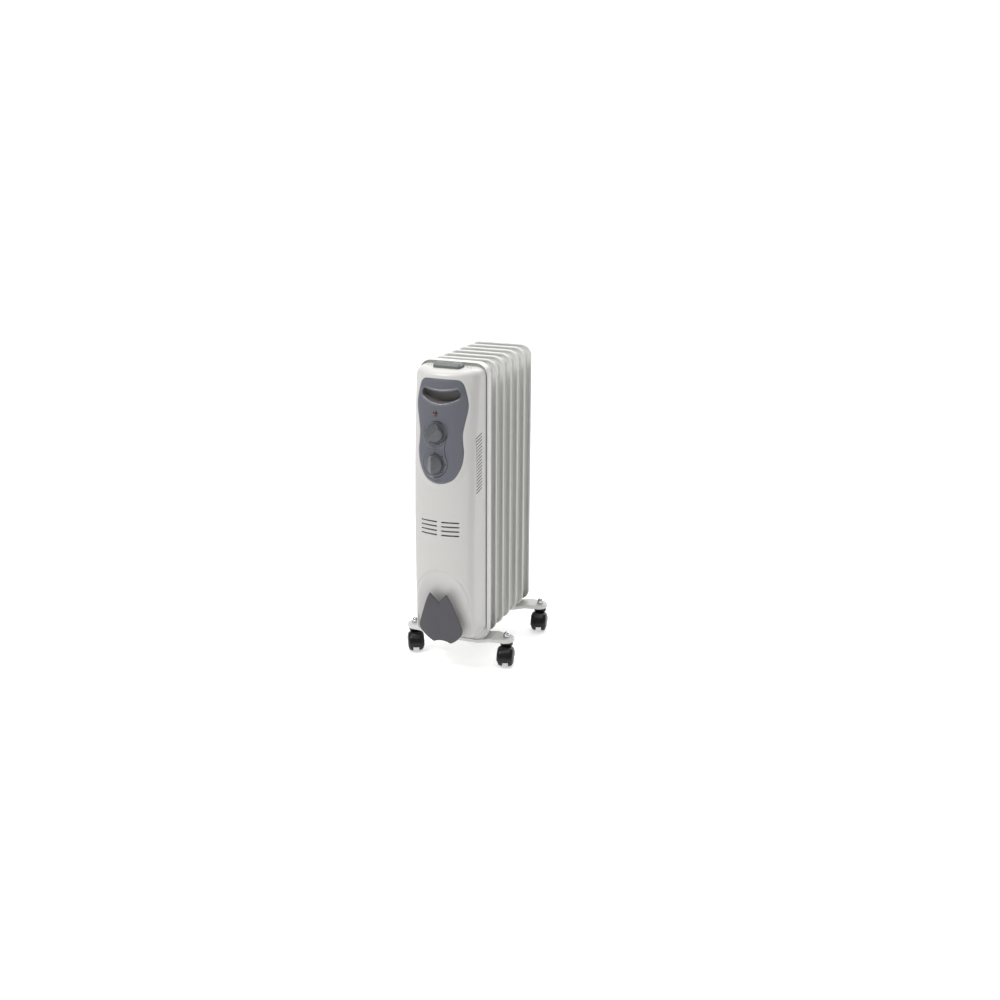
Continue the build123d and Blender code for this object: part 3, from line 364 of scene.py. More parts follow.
def smoothstep(start, end, value):
    t = np.clip((value - start) / (end - start), 0.0, 1.0)
    return t * t * (3.0 - 2.0 * t)


def loop_faces(first, second, count, closed=True):
    """Quads between two loops of points given by their first indices."""
    steps = count if closed else count - 1
    return [(first + i, first + (i + 1) % count, second + (i + 1) % count, second + i) for i in range(steps)]


def skin(rings, wrap=False):
    """Points and quads through a list of loops with the same number of points."""
    count = len(rings[0])
    points = np.concatenate(rings)
    faces = []
    for index in range(len(rings) - 1):
        faces += loop_faces(index * count, (index + 1) * count, count)
    if wrap:
        faces += loop_faces((len(rings) - 1) * count, 0, count)
    return points, faces


def joined(parts):
    """One set of points and faces from several."""
    points, faces, start = [], [], 0
    for part_points, part_faces in parts:
        points.append(np.asarray(part_points))
        faces += [tuple(start + corner for corner in face) for face in part_faces]
        start += len(part_points)
    return np.concatenate(points), faces


def mesh_object(name, points, faces, material=None, crease=35.0):
    """Mesh object from points in millimetres, merged, facing outwards and smooth shaded."""
    mesh = bpy.data.meshes.new(name)
    mesh.from_pydata((np.asarray(points) * MM).tolist(), [], faces)
    clean = bmesh.new()
    clean.from_mesh(mesh)
    bmesh.ops.remove_doubles(clean, verts=clean.verts, dist=0.00001)
    bmesh.ops.dissolve_degenerate(clean, edges=clean.edges, dist=0.000005)
    bmesh.ops.recalc_face_normals(clean, faces=clean.faces)
    clean.to_mesh(mesh)
    clean.free()
    finish_mesh(mesh, material, crease)
    made = bpy.data.objects.new(name, mesh)
    bpy.context.scene.collection.objects.link(made)
    return made


def finish_mesh(mesh, material, crease):
    mesh.shade_smooth()
    mesh.set_sharp_from_angle(angle=math.radians(crease))
    if material:
        mesh.materials.clear()
        mesh.materials.append(MATERIALS[material])


def settle(piece, body, slot, *nodes):
    """Hands a finished piece to the frame."""
    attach(piece, body)
    if nodes:
        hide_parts(*nodes)
    return piece


def apply_boolean(piece, cutter):
    """Cuts one mesh out of another and removes the cutter."""
    modifier = piece.modifiers.new("cut", "BOOLEAN")
    modifier.operation = "DIFFERENCE"
    modifier.solver = "EXACT"
    modifier.object = cutter
    graph = bpy.context.evaluated_depsgraph_get()
    cut = bpy.data.meshes.new_from_object(piece.evaluated_get(graph))
    piece.modifiers.clear()
    old = piece.data
    piece.data = cut
    bpy.data.meshes.remove(old)
    bpy.data.objects.remove(cutter)


def rounded_ring(half_width, low, high, corner, inset, steps):
    """Loop round a rounded rectangle drawn in by inset; steps are across, up and per corner."""
    across, up, bend = steps
    half = half_width - inset
    bottom, top = low + inset, high - inset
    radius = min(max(corner - inset, 0.02), half)
    arcs = []
    starts = [(half - radius, bottom + radius, -90), (half - radius, top - radius, 0),
              (-half + radius, top - radius, 90), (-half + radius, bottom + radius, 180)]
    straights = [across, up, across, up]
    corners = []
    for cx, cz, angle in starts:
        turn = np.radians(np.linspace(angle, angle + 90, bend, endpoint=False))
        corners.append(np.stack([cx + radius * np.cos(turn), cz + radius * np.sin(turn)], 1))
    for index in range(4):
        arcs.append(corners[index])
        cx, cz, angle = starts[index]
        end_turn = math.radians(angle + 90)
        begin = np.array([cx + radius * math.cos(end_turn), cz + radius * math.sin(end_turn)])
        nx, nz, next_angle = starts[(index + 1) % 4]
        begin_turn = math.radians(next_angle)
        end = np.array([nx + radius * math.cos(begin_turn), nz + radius * math.sin(begin_turn)])
        count = straights[(index + 1) % 4]
        arcs.append(begin + (end - begin) * np.linspace(0, 1, count, endpoint=False)[:, None])
    return np.concatenate(arcs)


def catmull(points, steps):
    """Smooth open curve through points."""
    knots = np.array(points, float)
    knots = np.concatenate([[2 * knots[0] - knots[1]], knots, [2 * knots[-1] - knots[-2]]])
    t = np.linspace(0, 1, steps, endpoint=False)[:, None]
    spans = []
    for a, b, c, d in zip(knots[:-3], knots[1:-2], knots[2:-1], knots[3:]):
        square = (2 * a - 5 * b + 4 * c - d) * t ** 2
        cube = (3 * b - a - 3 * c + d) * t ** 3
        spans.append(0.5 * (2 * b + (c - a) * t + square + cube))
    return np.concatenate(spans + [knots[-2][None]])


def mirrored_loop(right):
    """Closed loop from a right half that runs from top centre to bottom centre."""
    left = right[::-1].copy()
    left[:, 0] *= -1
    return np.concatenate([right[:-1], left[:-1]])


def resampled(loop, count):
    """The same closed loop with evenly spaced points."""
    closed = np.concatenate([loop, loop[:1]])
    run = np.concatenate([[0], np.cumsum(np.linalg.norm(np.diff(closed, axis=0), axis=1))])
    at = np.linspace(0, run[-1], count, endpoint=False)
    return np.stack([np.interp(at, run, closed[:, 0]), np.interp(at, run, closed[:, 1])], 1)


def loop_distance(x, z, loop):
    """Distance to a closed loop, negative inside it."""
    start, end = loop, np.roll(loop, -1, axis=0)
    span = end - start
    best = np.full(x.shape, 1e9)
    inside = np.zeros(x.shape, bool)
    for (ax, az), (dx, dz) in zip(start, span):
        t = np.clip(((x - ax) * dx + (z - az) * dz) / (dx * dx + dz * dz + 1e-12), 0, 1)
        best = np.minimum(best, np.hypot(x - ax - t * dx, z - az - t * dz))
        crosses = (az > z) != (az + dz > z)
        inside ^= crosses & (x < dx * (z - az) / (dz if abs(dz) > 1e-12 else 1e-12) + ax)
    return np.where(inside, -best, best)


def stamp_tree():
    """Geometry Nodes: a shape on every vertex of the input, turned, realized and given a material."""
    tree = bpy.data.node_groups.new("stamp_on_points", "GeometryNodeTree")
    face = tree.interface
    face.new_socket("Geometry", in_out="INPUT", socket_type="NodeSocketGeometry")
    face.new_socket("Shape", in_out="INPUT", socket_type="NodeSocketObject")
    face.new_socket("Turn", in_out="INPUT", socket_type="NodeSocketVector")
    face.new_socket("Finish", in_out="INPUT", socket_type="NodeSocketMaterial")
    face.new_socket("Geometry", in_out="OUTPUT", socket_type="NodeSocketGeometry")
    begin = tree.nodes.new("NodeGroupInput")
    shape = tree.nodes.new("GeometryNodeObjectInfo")
    stamp = tree.nodes.new("GeometryNodeInstanceOnPoints")
    real = tree.nodes.new("GeometryNodeRealizeInstances")
    paint_all = tree.nodes.new("GeometryNodeSetMaterial")
    end = tree.nodes.new("NodeGroupOutput")
    links = [
        (begin.outputs["Geometry"], stamp.inputs["Points"]),
        (begin.outputs["Shape"], shape.inputs["Object"]),
        (shape.outputs["Geometry"], stamp.inputs["Instance"]),
        (begin.outputs["Turn"], stamp.inputs["Rotation"]),
        (stamp.outputs["Instances"], real.inputs["Geometry"]),
        (real.outputs["Geometry"], paint_all.inputs["Geometry"]),
        (begin.outputs["Finish"], paint_all.inputs["Material"]),
        (paint_all.outputs["Geometry"], end.inputs["Geometry"]),
    ]
    for source, target in links:
        tree.links.new(source, target)
    return tree


def stamped(name, shape, places, turn=(0.0, 0.0, 0.0), material="zinc_steel"):
    """Copies of a shape at places, as one plain mesh. The shape object is removed."""
    tree = bpy.data.node_groups.get("stamp_on_points") or stamp_tree()
    mesh = bpy.data.meshes.new(name)
    mesh.from_pydata((np.asarray(places, float) * MM).tolist(), [], [])
    holder = bpy.data.objects.new(name, mesh)
    bpy.context.scene.collection.objects.link(holder)
    modifier = holder.modifiers.new("stamp", "NODES")
    modifier.node_group = tree
    keys = {item.name: item.identifier for item in tree.interface.items_tree if item.in_out == "INPUT"}
    modifier[keys["Shape"]] = shape
    modifier[keys["Turn"]] = [float(angle) for angle in turn]
    modifier[keys["Finish"]] = MATERIALS[material]
    graph = bpy.context.evaluated_depsgraph_get()
    result = bpy.data.meshes.new_from_object(holder.evaluated_get(graph))
    holder.modifiers.clear()
    holder.data = result
    bpy.data.meshes.remove(mesh)
    bpy.data.objects.remove(shape)
    return holder


def prism(name, loop, near, far, to_point):
    """Closed prism of a loop between two depths; to_point turns (u, v, depth) into a place."""
    count = len(loop)
    rings = [np.array([to_point(u, v, depth) for u, v in loop]) for depth in (near, far)]
    points, faces = skin(rings)
    faces += [tuple(range(count))[::-1], tuple(range(count, 2 * count))]
    return mesh_object(name, points, faces)


def lathe(profile, axis_point, axis, steps=64):
    """Rings of a profile of (radius, along) pairs turned round an axis."""
    axis = np.array(axis, float) / np.linalg.norm(axis)
    side = np.cross(axis, [0, 0, 1]) if abs(axis[2]) < 0.9 else np.cross(axis, [0, 1, 0])
    side /= np.linalg.norm(side)
    other = np.cross(axis, side)
    turn = np.radians(np.linspace(0, 360, steps, endpoint=False))
    rings = []
    for radius, along in profile:
        ring = np.outer(np.cos(turn), side) + np.outer(np.sin(turn), other)
        rings.append(np.array(axis_point) + ring * max(radius, 0.0) + axis * along)
    return rings


def rounded_profile(points, radius, steps=5):
    """Open profile with each inner corner replaced by a short curve."""
    pts = [np.array(p, float) for p in points]
    out = [pts[0]]
    for before, corner, after in zip(pts[:-2], pts[1:-1], pts[2:]):
        reach_in = min(radius, 0.45 * np.linalg.norm(before - corner))
        reach_out = min(radius, 0.45 * np.linalg.norm(after - corner))
        begin = corner + (before - corner) / max(np.linalg.norm(before - corner), 1e-9) * reach_in
        end = corner + (after - corner) / max(np.linalg.norm(after - corner), 1e-9) * reach_out
        for t in np.linspace(0, 1, steps):
            out.append((1 - t) ** 2 * begin + 2 * t * (1 - t) * corner + t ** 2 * end)
    out.append(pts[-1])
    return out


def grown(loop, amount):
    """A closed loop moved outwards along its normals."""
    ahead, behind = np.roll(loop, -1, axis=0), np.roll(loop, 1, axis=0)
    along = ahead - behind
    along /= np.linalg.norm(along, axis=1)[:, None]
    normal = np.stack([-along[:, 1], along[:, 0]], 1)
    area = np.sum(loop[:, 0] * np.roll(loop[:, 1], -1) - np.roll(loop[:, 0], -1) * loop[:, 1])
    return loop + normal * (amount if area < 0 else -amount)


def three_point_arc(first, middle, last, steps):
    """Points along the circle through three points, without the last one."""
    (ax, ay), (bx, by), (cx, cy) = first, middle, last
    d = 2 * (ax * (by - cy) + bx * (cy - ay) + cx * (ay - by))
    a2, b2, c2 = ax * ax + ay * ay, bx * bx + by * by, cx * cx + cy * cy
    ux = (a2 * (by - cy) + b2 * (cy - ay) + c2 * (ay - by)) / d
    uy = (a2 * (cx - bx) + b2 * (ax - cx) + c2 * (bx - ax)) / d
    start = math.atan2(ay - uy, ax - ux)
    through = (math.atan2(by - uy, bx - ux) - start) % (2 * math.pi)
    finish = (math.atan2(cy - uy, cx - ux) - start) % (2 * math.pi)
    sweep = finish if through < finish else finish - 2 * math.pi
    angles = start + sweep * np.linspace(0, 1, steps, endpoint=False)
    radius = math.hypot(ax - ux, ay - uy)
    return np.stack([ux + radius * np.cos(angles), uy + radius * np.sin(angles)], 1)


def merged(name, pieces):
    """One object from several, which are removed."""
    both = bmesh.new()
    for piece in pieces:
        both.from_mesh(piece.data)
    mesh = bpy.data.meshes.new(name)
    both.to_mesh(mesh)
    both.free()
    for piece in pieces:
        bpy.data.objects.remove(piece)
    made = bpy.data.objects.new(name, mesh)
    bpy.context.scene.collection.objects.link(made)
    return made


def capsule(length, height, steps=10):
    """Loop round a slot with round ends."""
    radius, half = height / 2, length / 2 - height / 2
    turn = np.radians(np.linspace(-90, 90, steps))
    right = np.stack([half + radius * np.cos(turn), radius * np.sin(turn)], 1)
    return np.concatenate([right, -right])


# ------------------------------------------------------------------ front cover

ARCH_HALF_WIDTH = 58.0
ARCH_TOP = 223.0
ARCH_SPRING = 145.0
ARCH_LEAN = math.tan(math.radians(10.0))
SIDE_TAPER = math.tan(math.radians(7.0))
PANEL_POINTS = [
    (0, 608), (30, 607), (41, 603), (48, 590), (54.5, 557), (49.8, 525), (46.2, 503),
    (47, 484), (48.7, 463), (44.5, 437), (32, 414), (16, 404), (0, 401),
]
CONTROL_X = -8.5
THERMOSTAT_Z = 502.0
SELECTOR_Z = 441.5
LAMP = (-9.0, 540.0)


def panel_loop(count):
    return resampled(mirrored_loop(catmull(PANEL_POINTS, 14)), count)


def hand_loop(count):
    """Smile shaped mouth of the hand recess."""
    arcs = [
        three_point_arc((-35, 587), (0, 582), (35, 587), 60),
        three_point_arc((35, 587), (40, 578.5), (36, 570.5), 24),
        three_point_arc((36, 570.5), (0, 560), (-36, 570.5), 60),
        three_point_arc((-36, 570.5), (-40, 578.5), (-35, 587), 24),
    ]
    return resampled(np.concatenate(arcs), count)


class CoverForm:
    """The housing's shape: tapered walls under a bowed face that leans and curls into the top."""

    def __init__(self):
        chosen = sizes()
        low, high = box_mm("front_cover")
        self.bow, self.lean = chosen.bow_radius, chosen.lean_radius
        self.apex, self.curl, self.curl_radius = chosen.apex_height, chosen.curl_height, chosen.curl_radius
        self.corner, self.round = chosen.corner, chosen.edge_round
        self.axis_y = low[1] + self.bow
        self.back = box_mm("rear_box")[0][1] - 1.5
        self.half_width = high[0]
        self.bottom, self.top = low[2], high[2] + 1.0

    def radius(self, z):
        return self.bow - (z - self.apex) ** 2 / (2 * self.lean)

    def face_y(self, x, z, proud=0.0):
        centre = self.radius(self.curl) - self.curl_radius
        reach = np.clip((self.curl_radius + proud) ** 2 - np.maximum(z - self.curl, 0) ** 2, 0, None)
        profile = np.where(z > self.curl, centre + np.sqrt(reach), self.radius(z) + proud)
        return self.axis_y - np.sqrt(np.clip(profile ** 2 - np.asarray(x) ** 2, 0, None))

    def face_distance(self, x, y, z):
        out = np.hypot(x, y - self.axis_y)
        centre = self.radius(self.curl) - self.curl_radius
        curled = np.hypot(np.maximum(out - centre, 0), z - self.curl) - self.curl_radius
        return np.where(z > self.curl, curled, out - self.radius(z))

    def wall_distance(self, x, y, z):
        across = np.abs(x) - (self.half_width - self.corner)
        along = np.abs(z - (self.top + self.bottom) / 2) - ((self.top - self.bottom) / 2 - self.corner)
        outside = np.hypot(np.maximum(across, 0), np.maximum(along, 0)) - self.corner
        outside += np.minimum(np.maximum(across, along), 0)
        return (outside + SIDE_TAPER * (self.back - y)) / math.hypot(1, SIDE_TAPER)

    def distance(self, x, y, z, shrink):
        face = self.face_distance(x, y, z) + shrink
        wall = self.wall_distance(x, y, z) + shrink
        soft = max(self.round - shrink, 2.0)
        rounded = np.hypot(np.maximum(face + soft, 0), np.maximum(wall + soft, 0))
        return np.minimum(np.maximum(face, wall), -soft) + rounded

    def arch_inside(self, x, z, grow):
        """Distance outside the arched recess, negative inside."""
        half, rise = ARCH_HALF_WIDTH + grow, ARCH_TOP - ARCH_SPRING + grow
        up = np.maximum(z - ARCH_SPRING, 0.0)
        level = np.hypot(x / half, up / rise)
        slope = np.hypot(x / half ** 2, up / rise ** 2) / np.maximum(level, 1e-6)
        return (level - 1) / np.maximum(slope, 1e-6)

    def arch_floor(self, z):
        crest = self.axis_y - self.radius(ARCH_TOP) + 2.6
        return crest + ARCH_LEAN * (ARCH_TOP - z)


def cover_shell(form, shrink, steps, rays):
    """Rings of the cover's skin, cast from the middle line of its back to its rim."""
    rim = rounded_ring(form.half_width, form.bottom, form.top, form.corner, 0.0, steps)
    middle = np.stack([np.zeros(len(rim)),
                       np.clip(rim[:, 1], form.bottom + form.half_width, form.top - form.half_width)], 1)
    heading = rim - middle
    heading /= np.linalg.norm(heading, axis=1)[:, None]
    tilt = np.radians(np.linspace(0, 90, rays))[:, None]
    step = np.stack([
        np.cos(tilt) * heading[:, 0], -np.sin(tilt) * np.ones(len(rim)), np.cos(tilt) * heading[:, 1],
    ])
    near, far = np.zeros(step.shape[1:]), np.full(step.shape[1:], 140.0)
    for halving in range(32):
        reach = (near + far) / 2
        outside = form.distance(middle[:, 0] + step[0] * reach, form.back + step[1] * reach,
                                middle[:, 1] + step[2] * reach, shrink) > 0
        near, far = np.where(outside, near, reach), np.where(outside, reach, far)
    x, y, z = (middle[:, 0] + step[0] * near, form.back + step[1] * near, middle[:, 1] + step[2] * near)
    return x, press_details(form, x, y, z, shrink), z


def press_details(form, x, y, z, shrink):
    """Arched recess and, on the outside, the raised bezel round the panel."""
    soft = sizes().arch_edge
    inside = smoothstep(soft, -soft, form.arch_inside(x, z, shrink))
    y = y + inside * np.maximum(form.arch_floor(z) + shrink - y, 0.0)
    if shrink == 0.0:
        y = y + 1.7 * np.exp(-((form.arch_inside(x, z, 0.0) - 0.6) / 1.8) ** 2) * smoothstep(78, 100, z)
    if shrink == 0.0:
        near = (z > 380) & (y < form.back - 40)
        gap = loop_distance(x[near], z[near], panel_loop(160))
        y[near] -= 1.5 * smoothstep(11.0, 2.0, gap) * smoothstep(-9.0, -3.0, gap)
    return y


def vent_cutters(form):
    """Cutters for the vents, as Geometry Nodes stamps of one slot each."""
    front_low = form.axis_y - form.bow
    front = prism("front_slot", capsule(36.3, 3.0), front_low - 4, front_low + 30, lambda u, v, d: (u, d, v))
    rows = [(side * 22.35, 0, 324.3 - 8.9 * row) for row in range(4) for side in (-1, 1)]
    slant = math.radians(18.0)
    side = prism("side_slot", capsule(24.0, 2.4), -15.0, 15.0, lambda u, v, d: (
        d, u * math.cos(slant) - v * math.sin(slant), u * math.sin(slant) + v * math.cos(slant)))
    sides = [(edge * 65.0, form.back - 26, 384 + 6.5 * row) for row in range(18) for edge in (-1, 1)]
    hole = prism("top_hole", capsule(3.81, 3.8), -15.0, 15.0, lambda u, v, d: (u, v, d))
    holes = [(edge * x, form.back - 14.5, form.top - 6) for x in (38.3, 45.7) for edge in (-1, 1)]
    mouth_loop = grown(hand_loop(120), 2.1)
    mouth = prism("mouth", mouth_loop, form.back - 20, front_low - 10, lambda u, v, d: (u, d, v))
    return merged("vents", [
        stamped("front_slots", front, rows), stamped("side_slots", side, sides),
        stamped("top_holes", hole, holes), mouth,
    ])


def build_cover():
    """Moulded cover with soft edges, arched recess, bezel and vents."""
    form = CoverForm()
    outer = cover_shell(form, 0.0, (30, 270, 20), 72)
    inner = cover_shell(form, sizes().wall, (14, 110, 12), 26)
    rings = [np.stack([axis[row] for axis in outer], 1) for row in range(len(outer[0]))]
    out_points, out_faces = skin(rings)
    rings = [np.stack([axis[row] for axis in inner], 1) for row in range(len(inner[0]))]
    in_points, in_faces = skin(rings)
    out_count, in_count = outer[0].shape[1], inner[0].shape[1]
    points, faces = joined([(out_points, out_faces), (in_points, in_faces)])
    faces += bridge_loops(points, 0, out_count, len(out_points), in_count)
    cover = mesh_object("cover_skin", points, faces, "cover_white", 32.0)
    apply_boolean(cover, vent_cutters(form))
    finish_mesh(cover.data, "cover_white", 32.0)
    return settle(cover, HEATER, "cover_white", "front_cover")


def bridge_loops(points, first, first_count, second, second_count):
    """Triangles between two loops with different numbers of points that start side by side."""
    faces = []
    a = b = 0
    while a < first_count or b < second_count:
        here, there = first + a % first_count, second + b % second_count
        if a / first_count <= b / second_count:
            faces.append((here, first + (a + 1) % first_count, there))
            a += 1
        else:
            faces.append((here, second + (b + 1) % second_count, there))
            b += 1
    return faces


# ------------------------------------------------------------------ control panel

def panel_height(x, z):
    """Height of the panel's surface above the cover's face."""
    chosen = sizes()
    inward = -loop_distance(x, z, panel_loop(200))
    side = smoothstep(-0.4, 1.3, inward)
    slope = np.clip(inward / chosen.panel_bevel, 0, 1)
    height = 0.5 + 1.1 * side + (chosen.panel_proud - 1.6) * slope
    height -= 0.3 * smoothstep(chosen.panel_bevel, chosen.panel_bevel + 1.0, inward)
    mouth = loop_distance(x, z, hand_loop(120))
    height += 1.5 * np.exp(-((mouth - 2.4) / 2.1) ** 2) - 1.0 * smoothstep(1.2, -0.2, mouth)
    to_thermostat = np.hypot(x - CONTROL_X, z - THERMOSTAT_Z)
    to_selector = np.hypot(x - CONTROL_X, z - SELECTOR_Z)
    nearest = np.minimum(to_thermostat, to_selector)
    blend = np.clip(0.5 + 0.5 * (to_thermostat - to_selector) / 14.0, 0, 1)
    nearest = nearest - 3.5 * blend * (1 - blend)
    height += 0.8 * np.exp(-((nearest - 28.0) / 1.3) ** 2) - 0.5 * np.exp(-((nearest - 25.8) / 1.0) ** 2)
    height -= 0.6 * smoothstep(20.8, 19.6, np.minimum(to_thermostat, to_selector))
    return height


def build_panel():
    """Waisted grey panel with a bevelled rim, a raised lip and the dial rings."""
    form = CoverForm()
    loop = panel_loop(420)
    middle = np.stack([np.zeros(len(loop)), np.clip(loop[:, 1], 446, 562)], 1)
    fractions = 1 - np.linspace(0, 1, 62) ** 1.35
    front, back = [], []
    for share in fractions:
        flat = middle + (loop - middle) * share
        x, z = flat[:, 0], flat[:, 1]
        front.append(np.stack([x, form.face_y(x, z, panel_height(x, z)), z], 1))
    for share in fractions[::8]:
        flat = middle + (loop - middle) * share
        back.append(np.stack([flat[:, 0], form.face_y(flat[:, 0], flat[:, 1], 0.08), flat[:, 1]], 1))
    back.append(np.stack([middle[:, 0], form.face_y(middle[:, 0], middle[:, 1], 0.08), middle[:, 1]], 1))
    points, faces = skin(front[::-1] + back)
    panel = mesh_object("panel_skin", points, faces, "panel_grey", 40.0)
    cutter = prism("mouth", hand_loop(160), form.back - 30, -190.0, lambda u, v, d: (u, d, v))
    apply_boolean(panel, cutter)
    finish_mesh(panel.data, "panel_grey", 40.0)
    return settle(panel, HEATER, "panel_grey", "control_panel")


def build_hand_recess():
    """Blind cup behind the panel with a rounded floor."""
    form = CoverForm()
    floor = box_mm("hand_recess")[1][1] - 2.0
    loop = hand_loop(200)
    middle = np.stack([np.clip(loop[:, 0], -28, 28), 576 + 0 * loop[:, 0]], 1)
    rings = []
    for depth in np.linspace(0, 1, 8):
        mouth_y = form.face_y(loop[:, 0], loop[:, 1], 0.0)
        flat = grown(loop, -0.8 * depth)
        rings.append(np.stack([flat[:, 0], mouth_y + (floor - 5 - mouth_y) * depth, flat[:, 1]], 1))
    for turn in np.radians(np.linspace(15, 90, 6)):
        flat = grown(loop, -0.8 - 4.2 * (1 - math.cos(turn)))
        depth = np.full(len(loop), floor - 5 + 5 * math.sin(turn))
        rings.append(np.stack([flat[:, 0], depth, flat[:, 1]], 1))
    last = rings[-1][:, [0, 2]]
    for share in (0.7, 0.4, 0.0):
        flat = middle + (last - middle) * share
        rings.append(np.stack([flat[:, 0], np.full(len(loop), floor), flat[:, 1]], 1))
    outside = []
    for share in (0.0, 0.5):
        flat = middle + (grown(loop, 1.9) - middle) * share
        outside.append(np.stack([flat[:, 0], np.full(len(loop), floor + 1.9), flat[:, 1]], 1))
    wide = grown(loop, 1.9)
    outside.append(np.stack([wide[:, 0], np.full(len(loop), floor + 1.9), wide[:, 1]], 1))
    outside.append(np.stack([wide[:, 0], form.face_y(wide[:, 0], wide[:, 1], 0.0), wide[:, 1]], 1))
    points, faces = skin(rings[::-1] + outside[::-1])
    cup = mesh_object("recess_cup", points, faces, "recess_grey", 40.0)
    return settle(cup, HEATER, "recess_grey", "hand_recess")


def strip(form, inner, outer, lift, thick):
    """Printed or raised strip between two lines of (x, z) points, on the panel's surface."""
    rings = []
    for edge, top in ((inner, lift), (outer, lift), (outer, lift + thick), (inner, lift + thick)):
        x, z = edge[:, 0], edge[:, 1]
        rings.append(np.stack([x, form.face_y(x, z, panel_height(x, z) + top), z], 1))
    count = len(inner)
    points = np.concatenate(rings)
    faces = []
    for side in range(4):
        faces += loop_faces(side * count, (side + 1) % 4 * count, count, closed=False)
    faces.append(tuple(side * count for side in range(4)))
    faces.append(tuple(side * count + count - 1 for side in range(4)))
    return points, faces


def polar(centre_z, radius, degrees):
    """Points round a knob's centre; 0 degrees is straight up and angles grow clockwise."""
    turn = np.radians(degrees)
    return np.stack([CONTROL_X + radius * np.sin(turn), centre_z + radius * np.cos(turn)], 1)


def build_dial_marks():
    """Printed ticks, the growing crescent of the thermostat and the selector's position dots."""
    form = CoverForm()
    parts = []
    # Painted shadow: a black crescent, widest in its middle, on the right of the ring round the thermostat.
    sweep = np.linspace(-22, 148, 60)
    width = 0.4 + 3.0 * np.sin(np.radians((sweep + 22) / 170 * 180)) ** 0.8
    shadow_inner, shadow_outer = polar(THERMOSTAT_Z, 22.0, sweep), polar(THERMOSTAT_Z, 22.0 + width, sweep)
    parts.append(strip(form, shadow_inner, shadow_outer, 0.03, 0.10))
    # Painted shadow: a black S line along the shaded side of the figure-eight ridge, from the thermostat down
    # round the selector.
    waist = np.array([(CONTROL_X + 19.5, (THERMOSTAT_Z + SELECTOR_Z) / 2)])
    upper, lower = polar(THERMOSTAT_Z, 25.4, [100, 118]), polar(SELECTOR_Z, 26.2, [62, 90, 125, 160, 195])
    ridge_shadow_line = catmull(np.concatenate([upper, waist, lower]).tolist(), 12)
    parts.append(strip(form, ridge_shadow_line, ridge_shadow_line + np.array([1.1, 0.0]), 0.03, 0.10))
    ticks = [(THERMOSTAT_Z, angle) for angle in (-150, -128, -106, -84, 158, 172)]
    ticks += [(SELECTOR_Z, angle) for angle in (0, 45, 90, 135)]
    for centre_z, angle in ticks:
        around = np.linspace(angle - 2.8, angle + 2.8, 5)
        parts.append(strip(form, polar(centre_z, 21.0, around), polar(centre_z, 23.8, around), 0.03, 0.10))
    points, faces = joined(parts)
    marks = mesh_object("dial_marks", points, faces, "ink_and_shadow_black")
    return settle(marks, HEATER, "panel_grey")


# ------------------------------------------------------------------ controls

def knob_frame(z, proud):
    """Origin, across, up and outward directions of a control on the panel."""
    form = CoverForm()
    radius = form.radius(z)
    bow = math.asin(CONTROL_X / radius)
    outward = np.array([math.sin(bow), -math.cos(bow), (z - form.apex) / form.lean])
    outward /= np.linalg.norm(outward)
    across = np.cross([0, 0, 1], outward)
    across /= np.linalg.norm(across)
    up = np.cross(outward, across)
    origin = np.array([CONTROL_X, form.axis_y - radius * math.cos(bow), z]) + outward * proud
    return origin, across, up, outward


def knob_height(u, v):
    """Height of a knob over its base: a crest along v with hollow slopes down to the deck."""
    crest = sizes().knob_height
    out = np.hypot(u, v)
    deck = 5.4
    slope = np.clip(1 - (np.abs(u) - 1.2) / 14.5, 0, 1) ** 1.5
    height = deck + (crest - deck) * slope - 0.035 * np.maximum(out - 8, 0) ** 1.5
    pointer = 0.6 * smoothstep(1.1, 0.5, np.abs(u)) * smoothstep(7.0, 8.5, v) * smoothstep(16.8, 15.6, v)
    return height - pointer


def knob_mesh(name, centre_z, rest, node, body):
    """One knob: flared skirt, rounded rim, dished deck and a raised grip across it."""
    origin, across, up, outward = knob_frame(centre_z, 4.1)
    chosen = sizes()
    count = 240
    turn = np.radians(np.linspace(0, 360, count, endpoint=False))
    rings = []

    def ring(radius, heights):
        u, v = radius * np.cos(turn), radius * np.sin(turn)
        spin = math.radians(rest)
        a, b = u * math.cos(spin) - v * math.sin(spin), u * math.sin(spin) + v * math.cos(spin)
        rings.append(origin + np.outer(a, across) + np.outer(b, up) + np.outer(heights, outward))

    flat = np.zeros(count)
    for radius in (0.0, 8.0, chosen.knob_radius - 0.4):
        ring(radius, flat + 0.05)
    ring(chosen.knob_radius, flat + 0.4)
    rim = chosen.knob_radius - 0.7
    for share in (0.25, 0.5, 0.75, 0.92):
        radius = chosen.knob_radius - 0.7 * share
        top = knob_height(rim * np.cos(turn), rim * np.sin(turn)) - 1.0
        ring(radius, 0.4 + (top - 0.4) * share)
    for radius in np.concatenate([np.linspace(rim - 0.1, rim - 1.4, 5), np.linspace(rim - 1.9, 0, 60)]):
        edge = smoothstep(rim - 1.4, rim, radius)
        ring(radius, knob_height(radius * np.cos(turn), radius * np.sin(turn)) - 1.0 * edge ** 1.5)
    points, faces = skin(rings)
    piece = mesh_object(name, points, faces, "knob_grey", 50.0)
    return settle(piece, body, "knob_grey", node)


def build_knobs():
    knob_mesh("thermostat_grip", THERMOSTAT_Z, -45.0, "thermostat_knob", "thermostat_dial")
    knob_mesh("selector_grip", SELECTOR_Z, 0.0, "selector_knob", "selector_dial")


